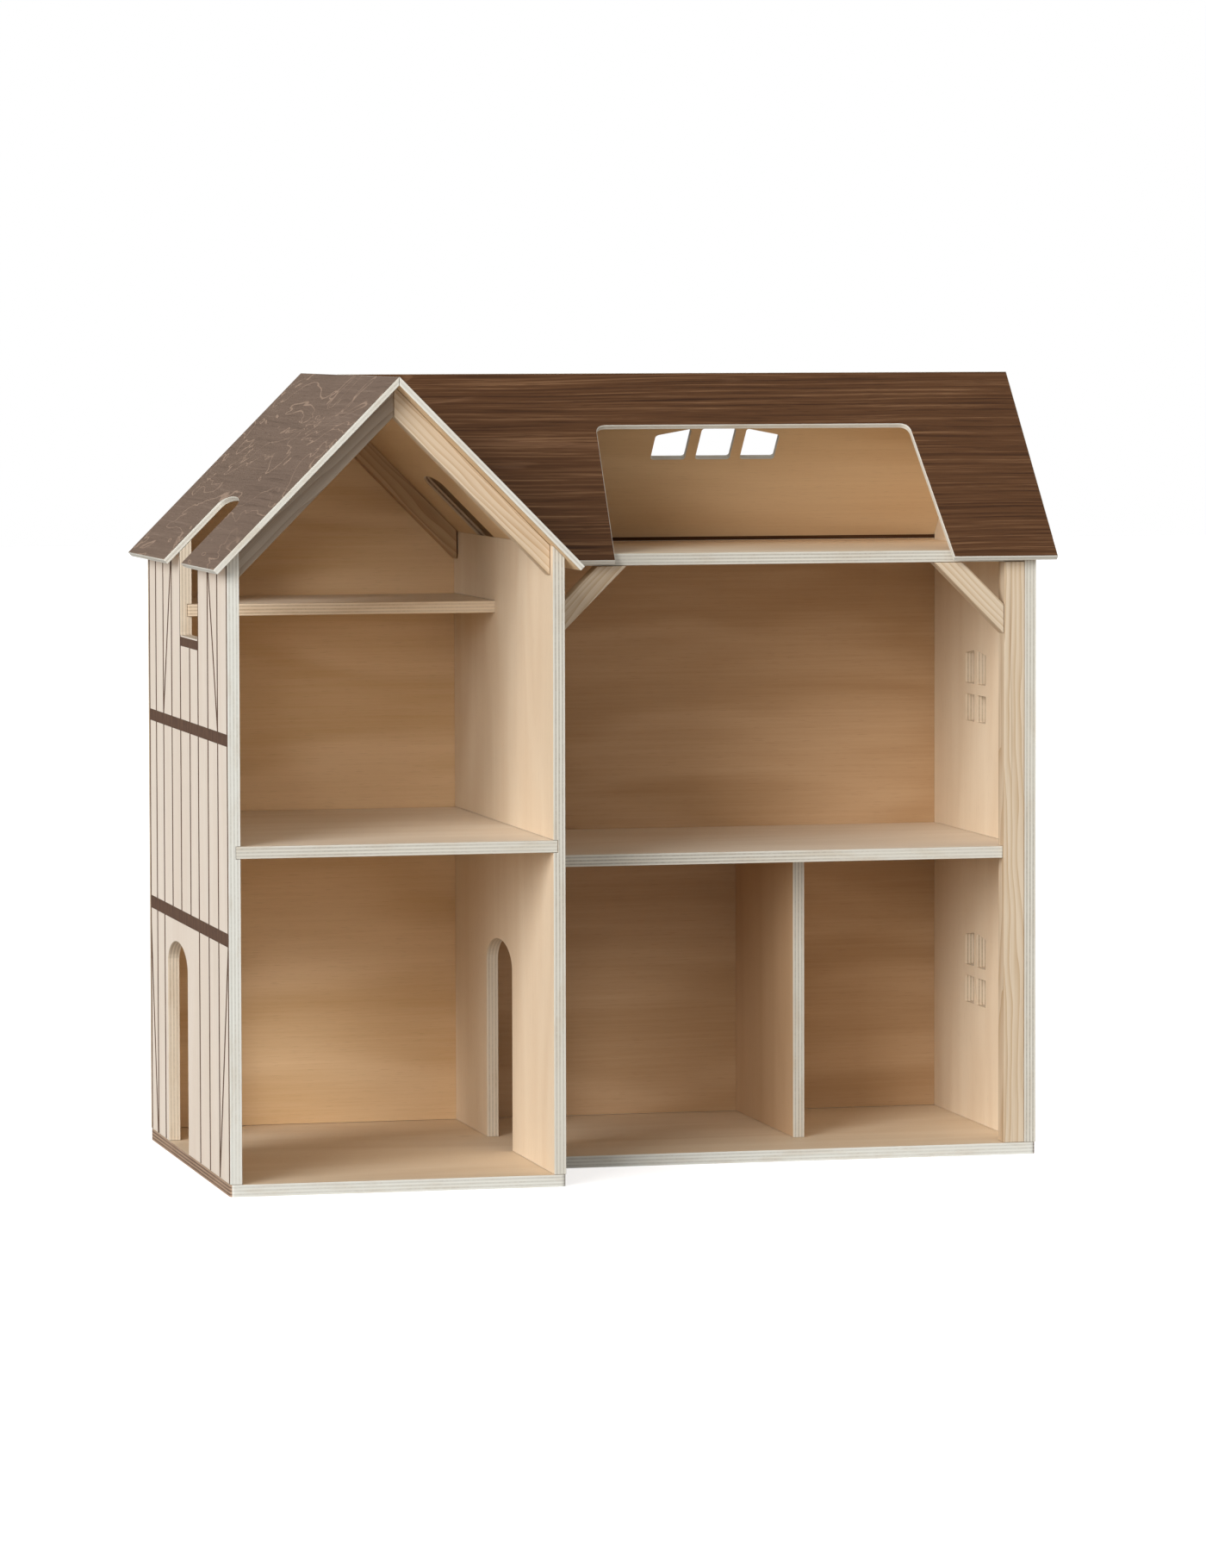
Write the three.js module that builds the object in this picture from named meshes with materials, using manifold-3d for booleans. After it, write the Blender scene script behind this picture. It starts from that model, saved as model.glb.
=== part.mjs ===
// Wooden dollhouse: an L-shaped plywood body, open at the front, with a wing on the left whose gable
// faces forward and a main house beside it. Millimetres, +Z up, +X to the right, the open front
// towards -Y. The house is laid out from the wing's front left foot and then shifted, so that the
// origin lies on the ground under the middle of its box.

import * as THREE from 'three';
import { mergeVertices } from 'three/addons/utils/BufferGeometryUtils.js';
import Module from 'manifold-3d';

const wasm = await Module();
wasm.setup();

// Stock
const ply = 9; // walls, floors and base
const backPly = 4; // back panels
const roofPly = 4.5; // roof panels
const stick = 16; // square pine section of posts, braces and rafters
const fit = 0.3; // clearance between pieces that meet
const housing = 3.2; // how deep a floor's end is housed in a wall

// Body
const wingWidth = 254;
const bodyWidth = 650;
const bodyDepth = 364;
const step = 105; // how far the wing stands in front of the main house
const baseCorner = 4; // radius of the base's corners
const wallHeight = 469.4; // underside of both roofs at the outer face of the walls
const ridgeHeight = 604; // top of both ridges

// Roof edges
const eaveOverhang = 12.5;
const vergeOverhang = 14; // front verge of the wing, right verge of the main house
const rearOverhang = 20; // rear verge of the wing

// Floors: heights of their upper faces, and how far their front edges stand back
const wingFloorTop = 259;
const mainFloorTop = 239;
const mainFloorSetback = 3.5;
const atticFloorSetback = 1.5;
const atticFloorDrop = 1.4; // below the wall height
const shelfDrop = 40.4; // below the wall height
const shelfFront = 206;

// Partition under the main floor
const partitionOffset = 221; // from the wing's right face
const partitionFront = 177;

// Arched doors, placed by the middle of the opening: the outer one from the back, the inner one
// from the wing's front
const doorWidth = 93;
const doorHeight = 159.5;
const doorRise = 20;
const outerDoorFromBack = 132.5;
const innerDoorMiddle = 194;

// Dormer on the left side: an opening in the wall that runs on up into the roof panel
const dormerFront = 130;
const dormerWidth = 80;
const dormerSillDrop = 23.5; // below the shelf's upper face
const dormerCorner = 3;
const dormerReach = 68.5; // from the eave up the slope to the crown of the slot
const slotRise = 9;

// Slot in the wing's right roof panel, between the two attics
const atticSlotWidth = 61;
const atticSlotMiddle = 240.5;
const atticSlotCrown = 107.7; // from the ridge down the slope

// Windows in the right wall: two over two panes, the upper ones with sloping heads
const paneWidth = 24.8;
const paneBar = 7.4;
const lowerPaneHeight = 21.6;
const crossBar = 8.4;
const upperPaneHeight = 24;
const upperPaneSlope = 3;
const paneCorner = 1.5;
const windowMiddle = 240.5;
const lowerSillRise = 93.7; // above the base
const upperSillRise = 88; // above the main floor

// Open cut in the main roof's front panel
const cutoutLeftMargin = 59.8; // at its foot, from the wing's right face
const cutoutRightMargin = 68.2; // at its foot, from the right wall's outer face
const cutoutSplay = 9; // how much each side leans outwards
const cutoutTop = 57; // from the ridge down the slope
const cutoutCorner = 8;

// Three-light window in the main roof's rear panel
const lightOffset = 7.2; // left of the cut-out's middle
const lightWidth = 28;
const lightBar = 8.3;
const lightTop = 58.5; // from the ridge down the slope
const lightHeight = 35;
const lightSlope = 7.5;
const lightCorner = 3;

// Pine members
const braceDrop = 55.3; // foot of a brace below the attic floor
const frontRafterSetback = 8;
const rearRafterGap = 1.2;

// Fixings
const screwShank = 1.5;
const screwHead = 3.2;
const screwHeadDepth = 2;
const screwSink = 0.4;
const screwPlay = 0.1;
const baseScrewLength = 30;
const backScrewLength = 16;
const screwEndMargin = 40;
const screwWallMargin = 60;
const screwBelowFloor = 18;
const dowelRadius = 2.5;
const dowelLength = 24;
const dowelInWall = 6;
const dowelEndMargin = 60;

// Shaping
const fixingSides = 12;
const curveSteps = 10;
const pitchTurns = 20;
const cutterReach = 45;

// Worked out from the values above
const wallRear = bodyDepth - backPly - fit;
const panelFront = bodyDepth - backPly;
const rightWallLeft = bodyWidth - ply;
const innerWallLeft = wingWidth - ply;
const wingMiddle = wingWidth / 2;
const mainMiddle = (step + bodyDepth) / 2;
const mainSpan = bodyDepth - step;
const atticFloorTop = wallHeight - atticFloorDrop;
const atticUnderside = atticFloorTop - ply;
const shelfTop = wallHeight - shelfDrop;
const dormerSill = shelfTop - dormerSillDrop;
const outerDoorMiddle = bodyDepth - outerDoorFromBack;
const partitionLeft = wingWidth + partitionOffset;
const windowSills = [ply + lowerSillRise, mainFloorTop + upperSillRise];
const cutoutLeft = wingWidth + cutoutLeftMargin;
const cutoutRight = bodyWidth - cutoutRightMargin;
const lightMiddle = (cutoutLeft + cutoutRight) / 2 - lightOffset;
const wingPitch = roofPitch(wingWidth / 2);
const mainPitch = roofPitch(mainSpan / 2);

// Stained and natural finishes
const finishes = {
  ply: [0xe3cfb0, 0.62],
  back: [0xd8bd95, 0.62],
  stain: [0x5a4436, 0.55],
  pine: [0xe4cda6, 0.6],
  steel: [0xb5b2aa, 0.4, 1],
  beech: [0xd9b88a, 0.7],
};

// The pitch at which a roof panel of the named thickness runs from the wall height to the ridge.
function roofPitch(halfSpan) {
  let pitch = Math.atan((ridgeHeight - wallHeight) / halfSpan);
  for (let turn = 0; turn < pitchTurns; turn += 1) {
    pitch = Math.atan((ridgeHeight - roofPly / Math.cos(pitch) - wallHeight) / halfSpan);
  }
  return pitch;
}

// Heights of a roof's outer and inner faces at a distance from its ridge line.
function outerHeight(offset, pitch) {
  return ridgeHeight - Math.abs(offset) * Math.tan(pitch);
}

function innerHeight(offset, pitch) {
  return outerHeight(offset, pitch) - roofPly / Math.cos(pitch);
}

function underWingRoof(x) {
  return innerHeight(x - wingMiddle, wingPitch) - fit;
}

function underMainRoof(y) {
  return innerHeight(y - mainMiddle, mainPitch) - fit;
}

// Solids
function solidOf(geometry) {
  const bare = geometry.clone();
  bare.deleteAttribute('normal');
  bare.deleteAttribute('uv');
  const merged = mergeVertices(bare, 1e-4);
  const mesh = new wasm.Mesh({
    numProp: 3,
    vertProperties: Float32Array.from(merged.attributes.position.array),
    triVerts: Uint32Array.from(merged.index.array),
  });
  return new wasm.Manifold(mesh);
}

function geometryOf(solid) {
  const mesh = solid.getMesh();
  const geometry = new THREE.BufferGeometry();
  geometry.setAttribute('position', new THREE.BufferAttribute(mesh.vertProperties, 3));
  geometry.setIndex(new THREE.BufferAttribute(mesh.triVerts, 1));
  geometry.computeVertexNormals();
  return geometry;
}

function cut(geometry, cutters) {
  let solid = solidOf(geometry);
  for (const cutter of cutters) {
    solid = solid.subtract(solidOf(cutter));
  }
  return geometryOf(solid);
}

function box(low, high) {
  const size = high.map((value, axis) => value - low[axis]);
  const geometry = new THREE.BoxGeometry(...size);
  geometry.translate(...low.map((value, axis) => value + size[axis] / 2));
  return geometry;
}

// A shape with its corners rounded: each point is [a, b] or [a, b, radius].
function outline(points) {
  const shape = new THREE.Shape();
  points.forEach(([a, b, radius = 0], index) => {
    const corner = new THREE.Vector2(a, b);
    const before = points[(index + points.length - 1) % points.length];
    const after = points[(index + 1) % points.length];
    const start = toward(corner, before, radius);
    const end = toward(corner, after, radius);
    if (index === 0) {
      shape.moveTo(start.x, start.y);
    } else {
      shape.lineTo(start.x, start.y);
    }
    if (radius > 0) {
      shape.quadraticCurveTo(corner.x, corner.y, end.x, end.y);
    }
  });
  shape.closePath();
  return shape;
}

function toward(corner, [a, b], distance) {
  const target = new THREE.Vector2(a, b);
  return target.sub(corner).setLength(distance).add(corner);
}

// An opening with an arched crown; its foot runs past the edge of the piece it is cut from.
function archOutline(middle, width, foot, crown, rise) {
  const up = Math.sign(crown - foot);
  const spring = crown - up * rise;
  const shape = new THREE.Shape();
  shape.moveTo(middle - width / 2, foot);
  shape.lineTo(middle - width / 2, spring);
  shape.absellipse(middle, spring, width / 2, rise, Math.PI, 0, up > 0);
  shape.lineTo(middle + width / 2, foot);
  shape.closePath();
  return shape;
}

function extruded(shape, depth) {
  return new THREE.ExtrudeGeometry(shape, { depth, bevelEnabled: false, curveSegments: curveSteps });
}

// A shape drawn in (y, z) and extruded along x, or drawn in (x, z) and extruded along y.
function alongX(shape, from, to) {
  const geometry = extruded(shape, to - from);
  geometry.applyMatrix4(basis([0, 1, 0], [0, 0, 1], [from, 0, 0]));
  return geometry;
}

function alongY(shape, from, to) {
  const geometry = extruded(shape, to - from);
  geometry.applyMatrix4(basis([1, 0, 0], [0, 0, 1], [0, to, 0]));
  return geometry;
}

function basis(first, second, origin) {
  const a = new THREE.Vector3(...first);
  const b = new THREE.Vector3(...second);
  const c = a.clone().cross(b);
  return new THREE.Matrix4().makeBasis(a, b, c).setPosition(...origin);
}

// A cutter for a roof panel: a shape drawn along the ridge and down the slope, cut square through.
function throughRoof(shape, along, down, ridgePoint) {
  const geometry = extruded(shape, cutterReach);
  geometry.translate(0, 0, -cutterReach / 2);
  geometry.applyMatrix4(basis(along, down, ridgePoint));
  return geometry;
}

// A panel's section from the ridge to a square-cut eave, as [distance from the ridge line, height].
function panelSection(reach, pitch, side) {
  const seam = fit / 2;
  const eaveHeight = outerHeight(reach, pitch);
  const inReach = reach - roofPly * Math.sin(pitch);
  const inHeight = eaveHeight - roofPly * Math.cos(pitch);
  return [
    [side * seam, outerHeight(seam, pitch)],
    [side * reach, eaveHeight],
    [side * inReach, inHeight],
    [side * seam, innerHeight(seam, pitch)],
  ];
}

function shifted(points, middle) {
  return points.map(([offset, height]) => [middle + offset, height]);
}

// Fixings
function screwProfile(length, play) {
  const head = screwHead + play;
  const shank = screwShank + play;
  const top = play > 0 ? screwSink + play : 0;
  return [
    [0, top],
    [head, top],
    [head, 0],
    [shank, -screwHeadDepth],
    [shank, -length + 2 * screwShank],
    [0, -length - play],
  ].map(([radius, height]) => new THREE.Vector2(radius, height));
}

// A countersunk screw, or the hole it needs, with its head at a point and its shank along a direction.
function screwSolid(head, direction, length, play) {
  const profile = screwProfile(length, play).filter(
    (point, index, all) => index === 0 || point.distanceTo(all[index - 1]) > 0,
  );
  const geometry = new THREE.LatheGeometry(profile.reverse(), fixingSides);
  turn(geometry, direction, -1);
  geometry.translate(...head);
  return geometry;
}

function dowelSolid(start, direction, play) {
  const length = dowelLength + 2 * play;
  const geometry = new THREE.CylinderGeometry(
    dowelRadius + play,
    dowelRadius + play,
    length,
    fixingSides,
  );
  geometry.translate(0, length / 2 - play, 0);
  turn(geometry, direction, 1);
  geometry.translate(...start);
  return geometry;
}

function turn(geometry, direction, sign) {
  const from = new THREE.Vector3(0, sign, 0);
  const to = new THREE.Vector3(...direction);
  const matrix = new THREE.Matrix4();
  matrix.makeRotationFromQuaternion(new THREE.Quaternion().setFromUnitVectors(from, to));
  geometry.applyMatrix4(matrix);
}

// Screws driven up through the base into the feet of the walls, the partition and the posts.
function baseScrews() {
  const wallMiddles = { wing_left_wall: ply / 2, wing_inner_wall: innerWallLeft + ply / 2 };
  const screws = [];
  for (const [piece, x] of Object.entries(wallMiddles)) {
    const door = piece === 'wing_left_wall' ? outerDoorMiddle : innerDoorMiddle;
    const beforeDoor = (screwEndMargin + door - doorWidth / 2) / 2;
    for (const y of [screwEndMargin, beforeDoor, wallRear - screwEndMargin]) {
      screws.push({ piece, point: [x, y] });
    }
  }
  for (const y of [step + screwEndMargin, wallRear - screwEndMargin]) {
    screws.push({ piece: 'main_right_wall', point: [rightWallLeft + ply / 2, y] });
  }
  for (const y of [partitionFront + screwEndMargin, wallRear - screwEndMargin]) {
    screws.push({ piece: 'ground_partition', point: [partitionLeft + ply / 2, y] });
  }
  screws.push({ piece: 'corner_post_left', point: [leftPostX() + stick / 2, step + stick / 2] });
  screws.push({ piece: 'corner_post_right', point: [rightPostX() + stick / 2, step + stick / 2] });
  return screws.map(({ piece, point }, index) => ({
    name: `base_screw_${index + 1}`,
    pieces: ['base_board', piece],
    head: [...point, screwSink],
    direction: [0, 0, 1],
    length: baseScrewLength,
  }));
}

// Screws driven forward through the back panels into the walls, floors and rear rafters.
function backScrews() {
  const wingX = [wingWidth / 3, (2 * wingWidth) / 3];
  const mainX = [wingWidth + screwWallMargin, bodyWidth - screwWallMargin];
  const rafterZ = underWingRoof(wingWidth / 4) - stick / (2 * Math.cos(wingPitch));
  const wallZ = [screwWallMargin, mainFloorTop, shelfTop].map((z) => z - screwBelowFloor);
  const wing = [
    ...wallZ.map((z) => ['wing_left_wall', ply / 2, z]),
    ...wingX.map((x) => ['wing_mid_floor', x, wingFloorTop - ply / 2]),
    ['rafter_rear_left', wingWidth / 4, rafterZ],
    ['rafter_rear_right', (3 * wingWidth) / 4, rafterZ],
  ];
  const main = [
    ...wallZ.map((z) => ['main_right_wall', bodyWidth - ply / 2, z]),
    ...mainX.map((x) => ['main_mid_floor', x, mainFloorTop - ply / 2]),
    ...mainX.map((x) => ['main_attic_floor', x, atticFloorTop - ply / 2]),
  ];
  const screw = (panel, part) => ([piece, x, z], index) => ({
    name: `${part}_back_screw_${index + 1}`,
    pieces: [panel, piece],
    head: [x, bodyDepth - screwSink, z],
    direction: [0, -1, 0],
    length: backScrewLength,
  });
  return [...wing.map(screw('wing_back_panel', 'wing')), ...main.map(screw('main_back_panel', 'main'))];
}

// Dowels that carry the ends of the attic floor in the inner wall and the right wall.
function atticDowels() {
  const dowels = [];
  const ends = [
    ['wing_inner_wall', wingWidth - dowelInWall, 1],
    ['main_right_wall', rightWallLeft + dowelInWall, -1],
  ];
  for (const [piece, x, way] of ends) {
    for (const y of [step + dowelEndMargin, wallRear - dowelEndMargin]) {
      dowels.push({
        name: `attic_dowel_${dowels.length + 1}`,
        pieces: ['main_attic_floor', piece],
        start: [x, y, atticFloorTop - ply / 2],
        direction: [way, 0, 0],
      });
    }
  }
  return dowels;
}

// The holes that the fixings need in one piece.
function holesIn(piece) {
  const allScrews = [...baseScrews(), ...backScrews()];
  const screws = allScrews.filter((screw) => screw.pieces.includes(piece));
  const dowels = atticDowels().filter((dowel) => dowel.pieces.includes(piece));
  return [
    ...screws.map((screw) => screwSolid(screw.head, screw.direction, screw.length, screwPlay)),
    ...dowels.map((dowel) => dowelSolid(dowel.start, dowel.direction, screwPlay)),
  ];
}

function leftPostX() {
  return wingWidth + fit;
}

function rightPostX() {
  return rightWallLeft - fit - stick;
}

// Pieces of the body
function baseBoard() {
  const corner = baseCorner;
  const shape = outline([
    [0, 0, corner],
    [wingWidth, 0, corner],
    [wingWidth, step],
    [bodyWidth, step, corner],
    [bodyWidth, bodyDepth, corner],
    [0, bodyDepth, corner],
  ]);
  return cut(extruded(shape, ply), holesIn('base_board'));
}

// A housing in a wall's face for the end of a floor, from its front edge to the wall's rear edge.
function dado(faceX, inward, floorTop, front) {
  const inner = faceX + inward * (housing + fit);
  const outer = faceX - inward * fit;
  return box(
    [Math.min(inner, outer), front - fit, floorTop - ply - fit],
    [Math.max(inner, outer), wallRear + fit, floorTop + fit],
  );
}

// A wing wall: its top is bevelled to the slope of the roof.
function wingWall(left) {
  const right = left + ply;
  const shape = outline([
    [left, ply + fit],
    [right, ply + fit],
    [right, underWingRoof(right)],
    [left, underWingRoof(left)],
  ]);
  return alongY(shape, 0, wallRear);
}

function doorCutter(left, middle) {
  const shape = archOutline(middle, doorWidth, 0, ply + doorHeight, doorRise);
  return alongX(shape, left - ply, left + 2 * ply);
}

function wingLeftWall() {
  const dormer = outline([
    [dormerFront, dormerSill, dormerCorner],
    [dormerFront + dormerWidth, dormerSill, dormerCorner],
    [dormerFront + dormerWidth, ridgeHeight],
    [dormerFront, ridgeHeight],
  ]);
  return cut(wingWall(0), [
    doorCutter(0, outerDoorMiddle),
    alongX(dormer, -ply, 2 * ply),
    dado(ply, -1, wingFloorTop, -ply),
    dado(ply, -1, shelfTop, shelfFront),
    ...holesIn('wing_left_wall'),
  ]);
}

function wingInnerWall() {
  return cut(wingWall(innerWallLeft), [
    doorCutter(innerWallLeft, innerDoorMiddle),
    dado(innerWallLeft, 1, wingFloorTop, -ply),
    dado(innerWallLeft, 1, shelfTop, shelfFront),
    dado(wingWidth, -1, mainFloorTop, step + mainFloorSetback),
    ...holesIn('wing_inner_wall'),
  ]);
}

// Outlines of a window's four panes, drawn in (y, z).
function windowPanes(sill) {
  const middle = windowMiddle;
  const head = sill + lowerPaneHeight + crossBar;
  const panes = [];
  for (const side of [-1, 1]) {
    const inner = middle + (side * paneBar) / 2;
    const outer = inner + side * paneWidth;
    panes.push([
      [inner, sill, paneCorner],
      [outer, sill, paneCorner],
      [outer, sill + lowerPaneHeight, paneCorner],
      [inner, sill + lowerPaneHeight, paneCorner],
    ]);
    panes.push([
      [inner, head, paneCorner],
      [outer, head, paneCorner],
      [outer, head + upperPaneHeight, paneCorner],
      [inner, head + upperPaneHeight + upperPaneSlope, paneCorner],
    ]);
  }
  return panes;
}

function mainRightWall() {
  const shape = outline([
    [step, ply + fit],
    [wallRear, ply + fit],
    [wallRear, underMainRoof(wallRear)],
    [mainMiddle, underMainRoof(mainMiddle)],
    [step, underMainRoof(step)],
  ]);
  const panes = windowSills.flatMap((sill) => windowPanes(sill));
  return cut(alongX(shape, rightWallLeft, bodyWidth), [
    ...panes.map((pane) => alongX(outline(pane), rightWallLeft - ply, bodyWidth + ply)),
    dado(rightWallLeft, 1, mainFloorTop, step + mainFloorSetback),
    ...holesIn('main_right_wall'),
  ]);
}

// The wing's back panel fills its rear gable; the two panels meet behind the inner wall.
function wingBackPanel() {
  const seam = innerWallLeft + ply / 2 - fit / 2;
  const shape = outline([
    [0, ply + fit],
    [seam, ply + fit],
    [seam, underWingRoof(seam)],
    [wingMiddle, underWingRoof(wingMiddle)],
    [0, underWingRoof(0)],
  ]);
  return cut(alongY(shape, panelFront, bodyDepth), holesIn('wing_back_panel'));
}

function mainBackPanel() {
  const seam = innerWallLeft + ply / 2 + fit / 2;
  const panel = box([seam, panelFront, ply + fit], [bodyWidth, bodyDepth, underMainRoof(bodyDepth)]);
  return cut(panel, holesIn('main_back_panel'));
}

// Floors
function wingMidFloor() {
  const floor = box(
    [ply - housing, fit, wingFloorTop - ply],
    [innerWallLeft + housing, wallRear, wingFloorTop],
  );
  return cut(floor, holesIn('wing_mid_floor'));
}

function wingAtticShelf() {
  return box(
    [ply - housing, shelfFront, shelfTop - ply],
    [innerWallLeft + housing, wallRear, shelfTop],
  );
}

function mainMidFloor() {
  const front = step + mainFloorSetback;
  const floor = box(
    [wingWidth - housing, front, mainFloorTop - ply],
    [rightWallLeft + housing, wallRear, mainFloorTop],
  );
  const notchRear = step + stick + fit;
  const notches = [
    [0, leftPostX() + stick + fit],
    [rightPostX() - fit, bodyWidth],
  ];
  return cut(floor, [
    ...notches.map(([from, to]) => box([from, 0, 0], [to, notchRear, wallHeight])),
    ...holesIn('main_mid_floor'),
  ]);
}

function mainAtticFloor() {
  const floor = box(
    [wingWidth + fit, step + atticFloorSetback, atticUnderside],
    [rightWallLeft - fit, wallRear, atticFloorTop],
  );
  return cut(floor, holesIn('main_attic_floor'));
}

function groundPartition() {
  const partition = box(
    [partitionLeft, partitionFront, ply + fit],
    [partitionLeft + ply, wallRear, mainFloorTop - ply - fit],
  );
  return cut(partition, holesIn('ground_partition'));
}

// Roofs
function wingRoofPanel(side) {
  const section = shifted(panelSection(wingMiddle + eaveOverhang, wingPitch, side), wingMiddle);
  return alongY(outline(section), -vergeOverhang, bodyDepth + rearOverhang);
}

function wingSlope(side) {
  return [side * Math.cos(wingPitch), 0, -Math.sin(wingPitch)];
}

function wingRoofLeft() {
  const eave = (wingMiddle + eaveOverhang) / Math.cos(wingPitch);
  const middle = dormerFront + dormerWidth / 2;
  const slot = archOutline(middle, dormerWidth, eave + ply, eave - dormerReach, slotRise);
  return cut(wingRoofPanel(-1), [
    throughRoof(slot, [0, 1, 0], wingSlope(-1), [wingMiddle, 0, ridgeHeight]),
  ]);
}

// The right panel's eave is cut back over the inner wall, where the main roof covers it.
function wingRoofRight() {
  const eave = (wingMiddle + eaveOverhang) / Math.cos(wingPitch);
  const wallLine = wingMiddle / Math.cos(wingPitch);
  const ridgePoint = [wingMiddle, 0, ridgeHeight];
  const notch = outline([
    [step - fit, wallLine],
    [bodyDepth + fit, wallLine],
    [bodyDepth + fit, eave + ply],
    [step - fit, eave + ply],
  ]);
  const slot = archOutline(atticSlotMiddle, atticSlotWidth, eave + ply, atticSlotCrown, slotRise);
  return cut(wingRoofPanel(1), [
    throughRoof(notch, [0, 1, 0], wingSlope(1), ridgePoint),
    throughRoof(slot, [0, 1, 0], wingSlope(1), ridgePoint),
  ]);
}

// Everything left of the wing's right slope, which trims the main roof along its valleys.
function valleyCutter() {
  const slopeGap = fit / Math.sin(wingPitch);
  const low = wallHeight - 2 * cutterReach;
  const lowX = wingMiddle + slopeGap + (ridgeHeight - low) / Math.tan(wingPitch);
  const shape = outline([
    [-bodyWidth, low],
    [lowX, low],
    [wingMiddle + slopeGap, ridgeHeight],
    [wingMiddle + slopeGap, ridgeHeight + ply],
    [-bodyWidth, ridgeHeight + ply],
  ]);
  return alongY(shape, -bodyDepth, 2 * bodyDepth);
}

function mainRoofPanel(side) {
  const section = shifted(panelSection(mainSpan / 2 + eaveOverhang, mainPitch, side), mainMiddle);
  return alongX(outline(section), wingMiddle, bodyWidth + vergeOverhang);
}

function mainSlope(side) {
  return [0, side * Math.cos(mainPitch), -Math.sin(mainPitch)];
}

function mainRoofFront() {
  const eave = (mainSpan / 2 + eaveOverhang) / Math.cos(mainPitch) + ply;
  const opening = outline([
    [cutoutLeft + cutoutSplay, cutoutTop, cutoutCorner],
    [cutoutRight - cutoutSplay, cutoutTop, cutoutCorner],
    [cutoutRight, eave],
    [cutoutLeft, eave],
  ]);
  return cut(mainRoofPanel(-1), [
    valleyCutter(),
    throughRoof(opening, [1, 0, 0], mainSlope(-1), [0, mainMiddle, ridgeHeight]),
  ]);
}

// Outlines of the three lights: the outer two have sloping heads.
function roofLights() {
  const pitchOfLights = lightWidth + lightBar;
  return [-1, 0, 1].map((place) => {
    const left = lightMiddle + place * pitchOfLights - lightWidth / 2;
    const right = left + lightWidth;
    const foot = lightTop + lightHeight;
    return [
      [left, lightTop + (place < 0 ? lightSlope : 0), lightCorner],
      [right, lightTop + (place > 0 ? lightSlope : 0), lightCorner],
      [right, foot, lightCorner],
      [left, foot, lightCorner],
    ];
  });
}

function mainRoofBack() {
  const ridgePoint = [0, mainMiddle, ridgeHeight];
  const lights = roofLights().map((light) =>
    throughRoof(outline(light), [1, 0, 0], mainSlope(1), ridgePoint));
  return cut(mainRoofPanel(1), [valleyCutter(), ...lights]);
}

// Pine members
function cornerPost(x, name) {
  const post = box([x, step, ply + fit], [x + stick, step + stick, atticUnderside - fit]);
  return cut(post, holesIn(name));
}

// A brace runs from a post's inner face up to the underside of the attic floor at 45 degrees.
function brace(faceX, side) {
  const top = atticUnderside - fit;
  const foot = top - braceDrop;
  const depth = stick * Math.SQRT2;
  const start = faceX + side * fit;
  const shape = outline([
    [start, foot],
    [start, foot + depth],
    [start + side * (braceDrop - depth), top],
    [start + side * braceDrop, top],
  ]);
  return alongY(shape, step, step + stick);
}

// A rafter lies under a wing roof panel from a wall's inner face to the seam under the ridge.
function rafter(side, endGap, front, name) {
  const depth = stick / Math.cos(wingPitch);
  const end = wingMiddle + side * (wingMiddle - ply - endGap);
  const seam = wingMiddle + (side * fit) / 2;
  const shape = outline([
    [end, underWingRoof(end)],
    [seam, underWingRoof(seam)],
    [seam, underWingRoof(seam) - depth],
    [end, underWingRoof(end) - depth],
  ]);
  return cut(alongY(shape, front, front + stick), holesIn(name));
}

// Assembly
function piece(name, geometry, finish) {
  const [color, roughness, metalness = 0] = finishes[finish];
  const material = new THREE.MeshStandardMaterial({ color, roughness, metalness });
  const mesh = new THREE.Mesh(geometry, material);
  mesh.name = name;
  return mesh;
}

function group(...meshes) {
  const parts = new THREE.Group();
  parts.add(...meshes);
  return parts;
}

function body() {
  return group(
    piece('base_board', baseBoard(), 'ply'),
    piece('wing_left_wall', wingLeftWall(), 'ply'),
    piece('wing_inner_wall', wingInnerWall(), 'ply'),
    piece('main_right_wall', mainRightWall(), 'ply'),
    piece('wing_back_panel', wingBackPanel(), 'back'),
    piece('main_back_panel', mainBackPanel(), 'back'),
    piece('wing_mid_floor', wingMidFloor(), 'ply'),
    piece('wing_attic_shelf', wingAtticShelf(), 'ply'),
    piece('main_mid_floor', mainMidFloor(), 'ply'),
    piece('main_attic_floor', mainAtticFloor(), 'ply'),
    piece('ground_partition', groundPartition(), 'ply'),
  );
}

function roofs() {
  return group(
    piece('wing_roof_left', wingRoofLeft(), 'stain'),
    piece('wing_roof_right', wingRoofRight(), 'stain'),
    piece('main_roof_front', mainRoofFront(), 'stain'),
    piece('main_roof_back', mainRoofBack(), 'stain'),
  );
}

function pineMembers() {
  const frontY = frontRafterSetback;
  const rearY = wallRear - stick;
  return group(
    piece('corner_post_left', cornerPost(leftPostX(), 'corner_post_left'), 'pine'),
    piece('corner_post_right', cornerPost(rightPostX(), 'corner_post_right'), 'pine'),
    piece('brace_left', brace(leftPostX() + stick, 1), 'pine'),
    piece('brace_right', brace(rightPostX(), -1), 'pine'),
    piece('rafter_front_left', rafter(-1, fit, frontY, 'rafter_front_left'), 'pine'),
    piece('rafter_front_right', rafter(1, fit, frontY, 'rafter_front_right'), 'pine'),
    piece('rafter_rear_left', rafter(-1, rearRafterGap, rearY, 'rafter_rear_left'), 'pine'),
    piece('rafter_rear_right', rafter(1, rearRafterGap, rearY, 'rafter_rear_right'), 'pine'),
  );
}

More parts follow.
